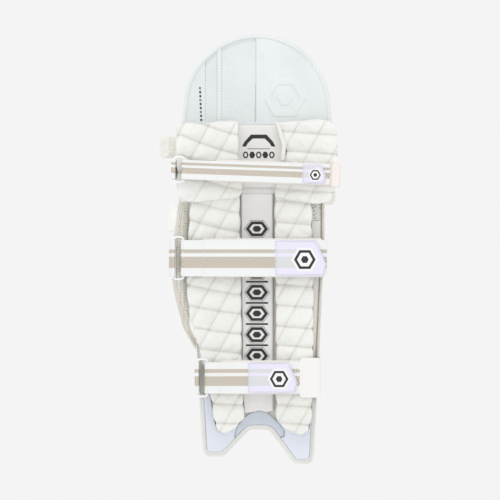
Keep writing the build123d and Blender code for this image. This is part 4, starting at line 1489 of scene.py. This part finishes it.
# %% [markdown]
# ## The wing on the outer side
# A thin padded wing folds in from the pad's outer edge. Its leg side is spacer mesh, its outer
# side coated cloth, and a twisted cord closes its free edge. The CAD wing's own outline is read
# as a width at each height, and grids are laid over it, so that mesh, cover and cord all share
# one curved edge.
# %% Make the wing
WING_LOW, WING_HIGH = 139.0, 381.0
WING_ALONG = np.array([-0.530, -0.848])
WING_HEIGHTS = [138, 162, 176, 192, 218, 250, 300, 326, 362, 382]
WING_WIDTHS = [0.5, 2.5, 5, 12, 26, 37, 36, 31.5, 20, 15]


def wing_width(z):
    """How wide the wing is at a height, as a smooth curve."""
    width = np.interp(z, WING_HEIGHTS, WING_WIDTHS)
    for shift in (6, 12):
        width = (width + np.interp(z - shift, WING_HEIGHTS, WING_WIDTHS)
                 + np.interp(z + shift, WING_HEIGHTS, WING_WIDTHS)) / 3
    return width


def wing_spot(along, out, z):
    """A place on the wing, by the distance from its root and from its middle plane.

    Under the calf the root follows the shell's edge in, to where the two meet.
    """
    inward = 18.0 * np.clip((176.0 - np.asarray(z)) / 38.0, 0, 1) ** 1.2
    root = WING_ROOT + np.multiply.outer(inward, np.array([1.0, 0.55]))
    xy = root + np.multiply.outer(along, WING_ALONG) + np.multiply.outer(out, WING_OUT)
    return np.concatenate([xy, np.asarray(z)[..., None]], axis=-1)


def wing_layer(name, out, crown, inset, thickness, material, slot, *nodes, tuck=0.0):
    """One layer of the wing: a grid from its root, or from tucked in there, to its free edge.

    It lies off the wing's middle plane and crowns further, and stops short of the free edge.
    """
    layer = add_shape(
        name, bpy.ops.mesh.primitive_grid_add, x_subdivisions=14, y_subdivisions=74, size=1,
    )
    flat = points_of(layer) * MM
    share = flat[:, 0] + 0.5
    z = WING_LOW + (flat[:, 1] + 0.5) * (WING_HIGH - WING_LOW)
    along = share * (np.maximum(wing_width(z) - inset, 0.4) + tuck) - tuck
    round_off = np.sqrt(np.clip(1 - (2 * share - 1) ** 2, 0, 1))
    move_points(layer, wing_spot(along, out + crown * round_off, z))
    thicken(layer, thickness, angle=60)
    return place(wear(layer, material), "shin_pad", slot, *nodes)


wing_back = wing_layer("wing_outer_cover", 0.6, 0.8, 0.8, 3.4, quilt_cloth, "quilt",
                       "wing_cover", "wing_foam")
wing_layer("wing_mesh_face", -1.9, -0.7, 1.2, 0.8, wing_mesh, "spacer_mesh", "wing_mesh_lining",
           "wing_root_web", tuck=9.0)
heights = np.linspace(137, 382, 130)
free_edge = wing_spot(np.maximum(wing_width(heights) - 0.6, 0.6), np.zeros_like(heights), heights)
tube("wing_edge_cord", free_edge, 2.5, wing_cord, "shin_pad", "edge_binding",
     sides=12, bulge=0.3, step=1.2)
# a thin dark tube along the mesh side of the free edge: painted shadow beside the cord
inner_edge = wing_spot(np.maximum(wing_width(heights) - 4.6, 0.4),
                       np.full_like(heights, -2.6), heights)
tube("wing_edge_shadow", inner_edge, 0.6, painted_crease_shadow, "shin_pad", "edge_binding", sides=6)

side_roll = soft_copy("wing_side_bolster", "wing_side_roll", 1.5, rounding=6)
points = points_of(side_roll)
ripple = 0.5 * np.sin(points[:, 2] / 4.6 + points[:, 1] / 5.0)
move_points(side_roll, points + normals_of(side_roll) * ripple[:, None])
place(wear(side_roll, face_cloth), "shin_pad", "quilt", "wing_side_roll")
print("wing done")

# %% [markdown]
# ## The ball face and the knee rolls
# The face that meets the ball is a coated skin over upright canes, stitched down between them.
# Round its knee go three stuffed rolls, whose covers are gathered at their closed ends. The
# gathers are folds that fan out from each end's middle and die away along the roll.
# %% Make the ball face
front = soft_copy("ball_face_cover", "shin_face_cover", 2.6, rounding=4)
true_up(front, (BALL_FACE,), near=0.9)
round_toes(front)
points = points_of(front)
CANE_RIBS = np.linspace(-80, 80, 9)
valleys = (CANE_RIBS[1:] + CANE_RIBS[:-1]) / 2
facing_ball = np.clip(normals_of(front)[:, 1] * 1.6 - 0.2, 0, 1)
off_valley = np.min(np.abs(points[:, :1] - valleys[None]), axis=1)
ribbed = np.clip((points[:, 2] - 28) / 6, 0, 1) * np.clip((370 - points[:, 2]) / 6, 0, 1)
outer = points[:, 1] > shell_y(points[:, 0], RIBBED_FROM)
sink = 1.4 * np.exp(-((off_valley / 2.4) ** 2)) * facing_ball * ribbed * outer
move_points(front, points - normals_of(front) * sink[:, None])
# painted shade in the stitched valleys between the canes
paint_points(front, "seam", 0.5 * np.exp(-((off_valley / 1.6) ** 2)) * ribbed * facing_ball)
place(wear(front, face_cloth), "shin_pad", "shell_cover", "shin_face_cover")
BALL_SIDE = 320  # the y that looks onto the ball face start from
lines = [[(x, BALL_SIDE, z) for z in np.linspace(32, 366, 40)] for x in valleys]
lines += [[(x, BALL_SIDE, z) for x in np.linspace(-92, 92, 40)] for z in (26.0, 373.0, 378.0)]
sew("ball_face_stitches", front, lines, "shin_pad", "shell_cover", look=(0, -1, 0), pitch=4.4)

# %% Make the knee rolls
GATHERS = 14  # how many folds there are round a roll's end
GATHER_FADE = 7.0  # how fast they die away along the roll

for name, middle, left, right in (
    ("upper_knee_roll", 474.0, -35.5, 28.0),
    ("middle_knee_roll", 435.0, -28.0, 28.0),
    ("lower_knee_roll", 396.0, -28.0, 28.0),
):
    stuffed = soft_copy(f"{name}_cover", name, 2.4, rounding=9)
    points = points_of(stuffed)
    turn = np.degrees(np.arctan2(points[:, 0], points[:, 1] + LEG_RADIUS))
    radial = np.hypot(points[:, 0], points[:, 1] + LEG_RADIUS) - ROLL_RADIUS
    around = np.arctan2(points[:, 2] - middle, radial)
    to_end = np.minimum(turn - left, right - turn) * math.pi / 180 * ROLL_RADIUS
    fade = np.exp(-np.abs(to_end - 2) / GATHER_FADE)
    gather = 0.9 * np.sin(around * GATHERS) * fade
    wrinkle = 0.35 * np.sin(turn * 2.3 + 1.5 * np.sin(around * 2)) * np.cos(around)
    fill = 0.8 * np.cos(np.clip((turn - (left + right) / 2) / (right - left) * 2.6, -1.5, 1.5))
    move_points(stuffed, points + normals_of(stuffed) * (gather + wrinkle + fill)[:, None])
    # painted shade in the valleys of the gathers at the roll's ends
    paint_points(stuffed, "seam", 0.35 * np.clip(np.sin(around * GATHERS + 3.1), 0, 1) * fade)
    place(wear(stuffed, roll_cloth), "shin_pad", "shell_cover", name)
print("knee rolls done")

# %% [markdown]
# ## The hinge behind the knee
# The flap is joined to the knee by a flexible web. It is drawn as a closed gusset: a rounded
# section is spun round the leg's axis from one side to the other.
# %% Make the hinge gusset
HINGE_HALF = math.radians(29.0)  # how far it reaches to either side
HINGE_RADIUS, HINGE_HEIGHT = 241.0, 502.2  # where its middle runs
gusset = add_shape(
    "knee_hinge_gusset", bpy.ops.mesh.primitive_circle_add,
    vertices=16, radius=1, fill_type="NOTHING",
)
ring_points = points_of(gusset) * MM
waist = 1 - 0.35 * (1 - np.clip(np.abs(ring_points[:, 1]), 0, 1) ** 2)
radii = HINGE_RADIUS + ring_points[:, 0] * 10.0 * waist
rise = HINGE_HEIGHT + ring_points[:, 1] * 12.5
move_points(gusset, np.stack([
    radii * math.sin(-HINGE_HALF), radii * math.cos(-HINGE_HALF) - LEG_RADIUS, rise,
], axis=1))
with editing(gusset):
    bpy.ops.mesh.spin(
        steps=40, angle=2 * HINGE_HALF, center=(0, -LEG_RADIUS * MM, 0), axis=(0, 0, 1),
    )
close_ends(gusset, bpy.ops.mesh.edge_face_add)
spans = points_of(gusset)
print("gusset spans", np.round(spans.min(axis=0)), np.round(spans.max(axis=0)))
smooth_shade(gusset)
wear(gusset, lining_cloth)
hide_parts("knee_hinge_web")
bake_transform(gusset)

# %% [markdown]
# ## The flap above the knee
# The flap's leg face is pressed in one mould: a smooth rim, a field of fine slanting ribs
# crossed by one plain bar, and a smooth field with a raised mark. The relief is real geometry.
# Each panel is remeshed finely enough to carry it, and every point is lifted by a height that
# is a formula of its place.
# %% Make the flap
RIB_PITCH = 4.3
RIB_SLANT = math.radians(25.0)
MARK_AT = (47.0, 557.0)  # the middle of the raised mark
BAR_LEFT, BAR_RIGHT = -66.5, -59.5  # the plain bar that crosses the ribs


def flap_crown(x):
    """The height of the ribbed field's upper edge, which follows the flap's rim."""
    return 651.0 - 0.0021 * np.clip(-x - 4, 0, None) ** 2 * 2.9


def rib_relief(x, z):
    """The height of the slanting ribs, the plain bar and the borders between them."""
    phase = (z + x * math.tan(RIB_SLANT)) * math.cos(RIB_SLANT) / RIB_PITCH
    ribs = 0.85 * np.abs(np.sin(math.pi * phase))
    bar = (x > BAR_LEFT) & (x < BAR_RIGHT)
    right_border = -5.0 + (z - 510.0) / 140.0 * 5.8
    field = (x < right_border) & (x > -86.0) & (z < flap_crown(x)) & ~bar
    groove = sum(0.8 * np.exp(-((x - at) ** 2)) for at in (BAR_LEFT - 0.5, BAR_RIGHT + 0.5))
    return np.where(field, ribs, 0.0) + np.where(bar, 1.3, 0.0) - groove


def hexagon_distance(x, z, middle):
    """How far a place is from a hexagon's middle, measured to its flats."""
    dx, dz = np.abs(x - middle[0]), np.abs(z - middle[1])
    return np.maximum(dz / 0.866, (dx * 0.866 + dz * 0.5) / 0.866)


def smooth_relief(x, z):
    """The height of the raised mark, the long soft ridge and the folds under it."""
    away = hexagon_distance(x, z, MARK_AT)
    ring = np.clip((away - 24) / 1.2, 0, 1) * np.clip((37 - away) / 1.2, 0, 1)
    heart = np.clip((14.5 - away) / 1.2, 0, 1)
    ridge = 1.0 * np.exp(-(((x - 8.0) / 3.4) ** 2)) * np.clip((650 - z) / 20, 0, 1)
    low = np.clip((545 - z) / 35, 0, 1)
    folds = low * 0.9 * np.sin((x - 8) / 3.6 + (z - 505) / 16.0) * np.exp(-((x - 20) / 14) ** 2)
    return 1.3 * np.maximum(ring, heart) + ridge + folds


for name, voxel, relief in (
    ("flap_edge_panel", 1.6, None),
    ("flap_rib_panel", 1.0, rib_relief),
    ("flap_smooth_panel", 1.3, smooth_relief),
):
    panel = soft_copy(f"{name}_cover", name, voxel, rounding=2, radii=(-FLAP_FACE,))
    if relief is not None:
        points = points_of(panel)
        lift = relief(points[:, 0], points[:, 2])
        move_points(panel, points + normals_of(panel) * (lift * leg_facing(panel))[:, None])
        if name == "flap_rib_panel":
            # painted shade where the relief is low: in the valleys between the ribs and the
            # grooves beside the plain bar
            paint_points(panel, "seam", 0.4 * np.clip(0.3 - lift, 0, 0.3) / 0.3)
    place(wear(panel, flap_cloth), "top_flap", "flap_panel", name)
    if name == "flap_edge_panel":
        edge_face = surface_of(panel)
rim = soft_copy("flap_rim_binding", "flap_binding", 1.7, rounding=3)
move_points(rim, points_of(rim) + normals_of(rim) * 1.1)
place(wear(rim, flap_cloth), "top_flap", "edge_binding", "flap_binding")
face = soft_copy("flap_ball_face", "flap_face_cover", 1.7, rounding=2,
                 radii=(FLAP_BALL, -FLAP_BACK))
place(wear(face, face_cloth), "top_flap", "shell_cover", "flap_face_cover")
curve = [(x, BALL_SIDE, z) for x, z in arc((0, 548), 98, 182, -2, 60)]
sew("flap_face_stitches", face, [curve], "top_flap", "shell_cover", look=(0, -1, 0), pitch=4.2)
for index in range(9):
    mark = bar_shape((-95.2 + 0.25 * index, 572.0 - index * 6.6), 1.5, 1.9)
    print_shape(f"flap_print_{index + 1}", mark, black_ink, edge_face, "top_flap", "flap_panel",
                stroke=None if index % 3 else 0.9)
print("flap done")

# %% [markdown]
# ## Finishes for the CAD pieces that stay
# The canes, foam cores, board and lining keep their CAD shapes. Most of them are out of sight
# inside the pad, but each takes the finish of the real stuff.
# %% Dress the CAD pieces
kept_finishes = {
    "cane_rods": split_cane,
    "flap_stiffener": flap_board,
    "back_lining": lining_cloth,
    "knee_cup_base": cup_cloth,
}
endings = (("_foam", core_foam), ("_foam_core", core_foam), ("_cores", core_foam),
           ("_tab_hooks", hook_nylon))
for name, node in frame["nodes"].items():
    by_ending = [finish for ending, finish in endings if name.endswith(ending)]
    wear(node, kept_finishes.get(name, by_ending[0] if by_ending else face_cloth))
print("CAD pieces with a finish:", len(frame["nodes"]))

# %% [markdown]
# ## Floor, light and camera
# The pad is lit as a catalogue lights white goods: a pale room, a soft panel above and in front
# of it, a larger one straight in front and one behind, so that the folds keep soft shadows and
# nothing burns out. The camera is level, far off and long, which keeps upright edges parallel.
# %% Stage
MIDDLE = Vector((-11.6, -50.0, 301.5)) * MM  # what the camera looks at
FIELD = 830 * MM  # how much it sees at that distance
CAMERA_AWAY = 4.6  # metres
SENSOR = 36  # millimetres
FLOOR = -0.42  # metres, far enough under the pad to be a plain ground
ROOM_TONE = "#F4F4F4"

floor = add_shape(
    "studio_floor", bpy.ops.mesh.primitive_circle_add,
    vertices=96, radius=1.7, location=(0, 0, FLOOR), fill_type="NGON",
)
bpy.ops.object.transform_apply(location=True, rotation=True, scale=True)
floor_paint = speckled("pale_floor_paint", ROOM_TONE, "#F2F2F2", 40.0, 0.0, 0.9)
wear(floor, floor_paint)


def soft_panel(name, place_at, width, height, watts):
    """A soft light panel that faces the pad."""
    bpy.ops.object.light_add(type="AREA", location=place_at)
    lamp = bpy.context.object
    lamp.name = name
    lamp.data.shape = "RECTANGLE"
    lamp.data.size = width
    lamp.data.size_y = height
    lamp.data.energy = watts
    lamp.rotation_mode = "QUATERNION"
    lamp.rotation_quaternion = (MIDDLE - Vector(place_at)).to_track_quat("-Z", "Y")
    return lamp


soft_panel("key_panel", (-0.5, -1.6, 2.1), 1.8, 1.2, 8)
soft_panel("front_panel", (0.1, -3.6, 0.35), 2.0, 2.0, 12)
soft_panel("back_panel", (-1.0, 2.2, 1.6), 1.8, 1.4, 8)

world = bpy.data.worlds.new("pale_room")
bpy.context.scene.world = world
world.use_nodes = True
room = world.node_tree.nodes["Background"].inputs
room["Color"].default_value = colour(ROOM_TONE)
room["Strength"].default_value = 1.0

bpy.ops.object.camera_add(location=MIDDLE + Vector((0, -CAMERA_AWAY, 0)))
camera = bpy.context.object
camera.name = "level_camera"
camera.rotation_euler = (math.pi / 2, 0, 0)
camera.data.sensor_width = SENSOR
camera.data.lens = SENSOR * CAMERA_AWAY / FIELD
bpy.context.scene.camera = camera
bpy.context.scene.view_settings.view_transform = "Standard"
print("camera lens:", round(camera.data.lens), "mm")
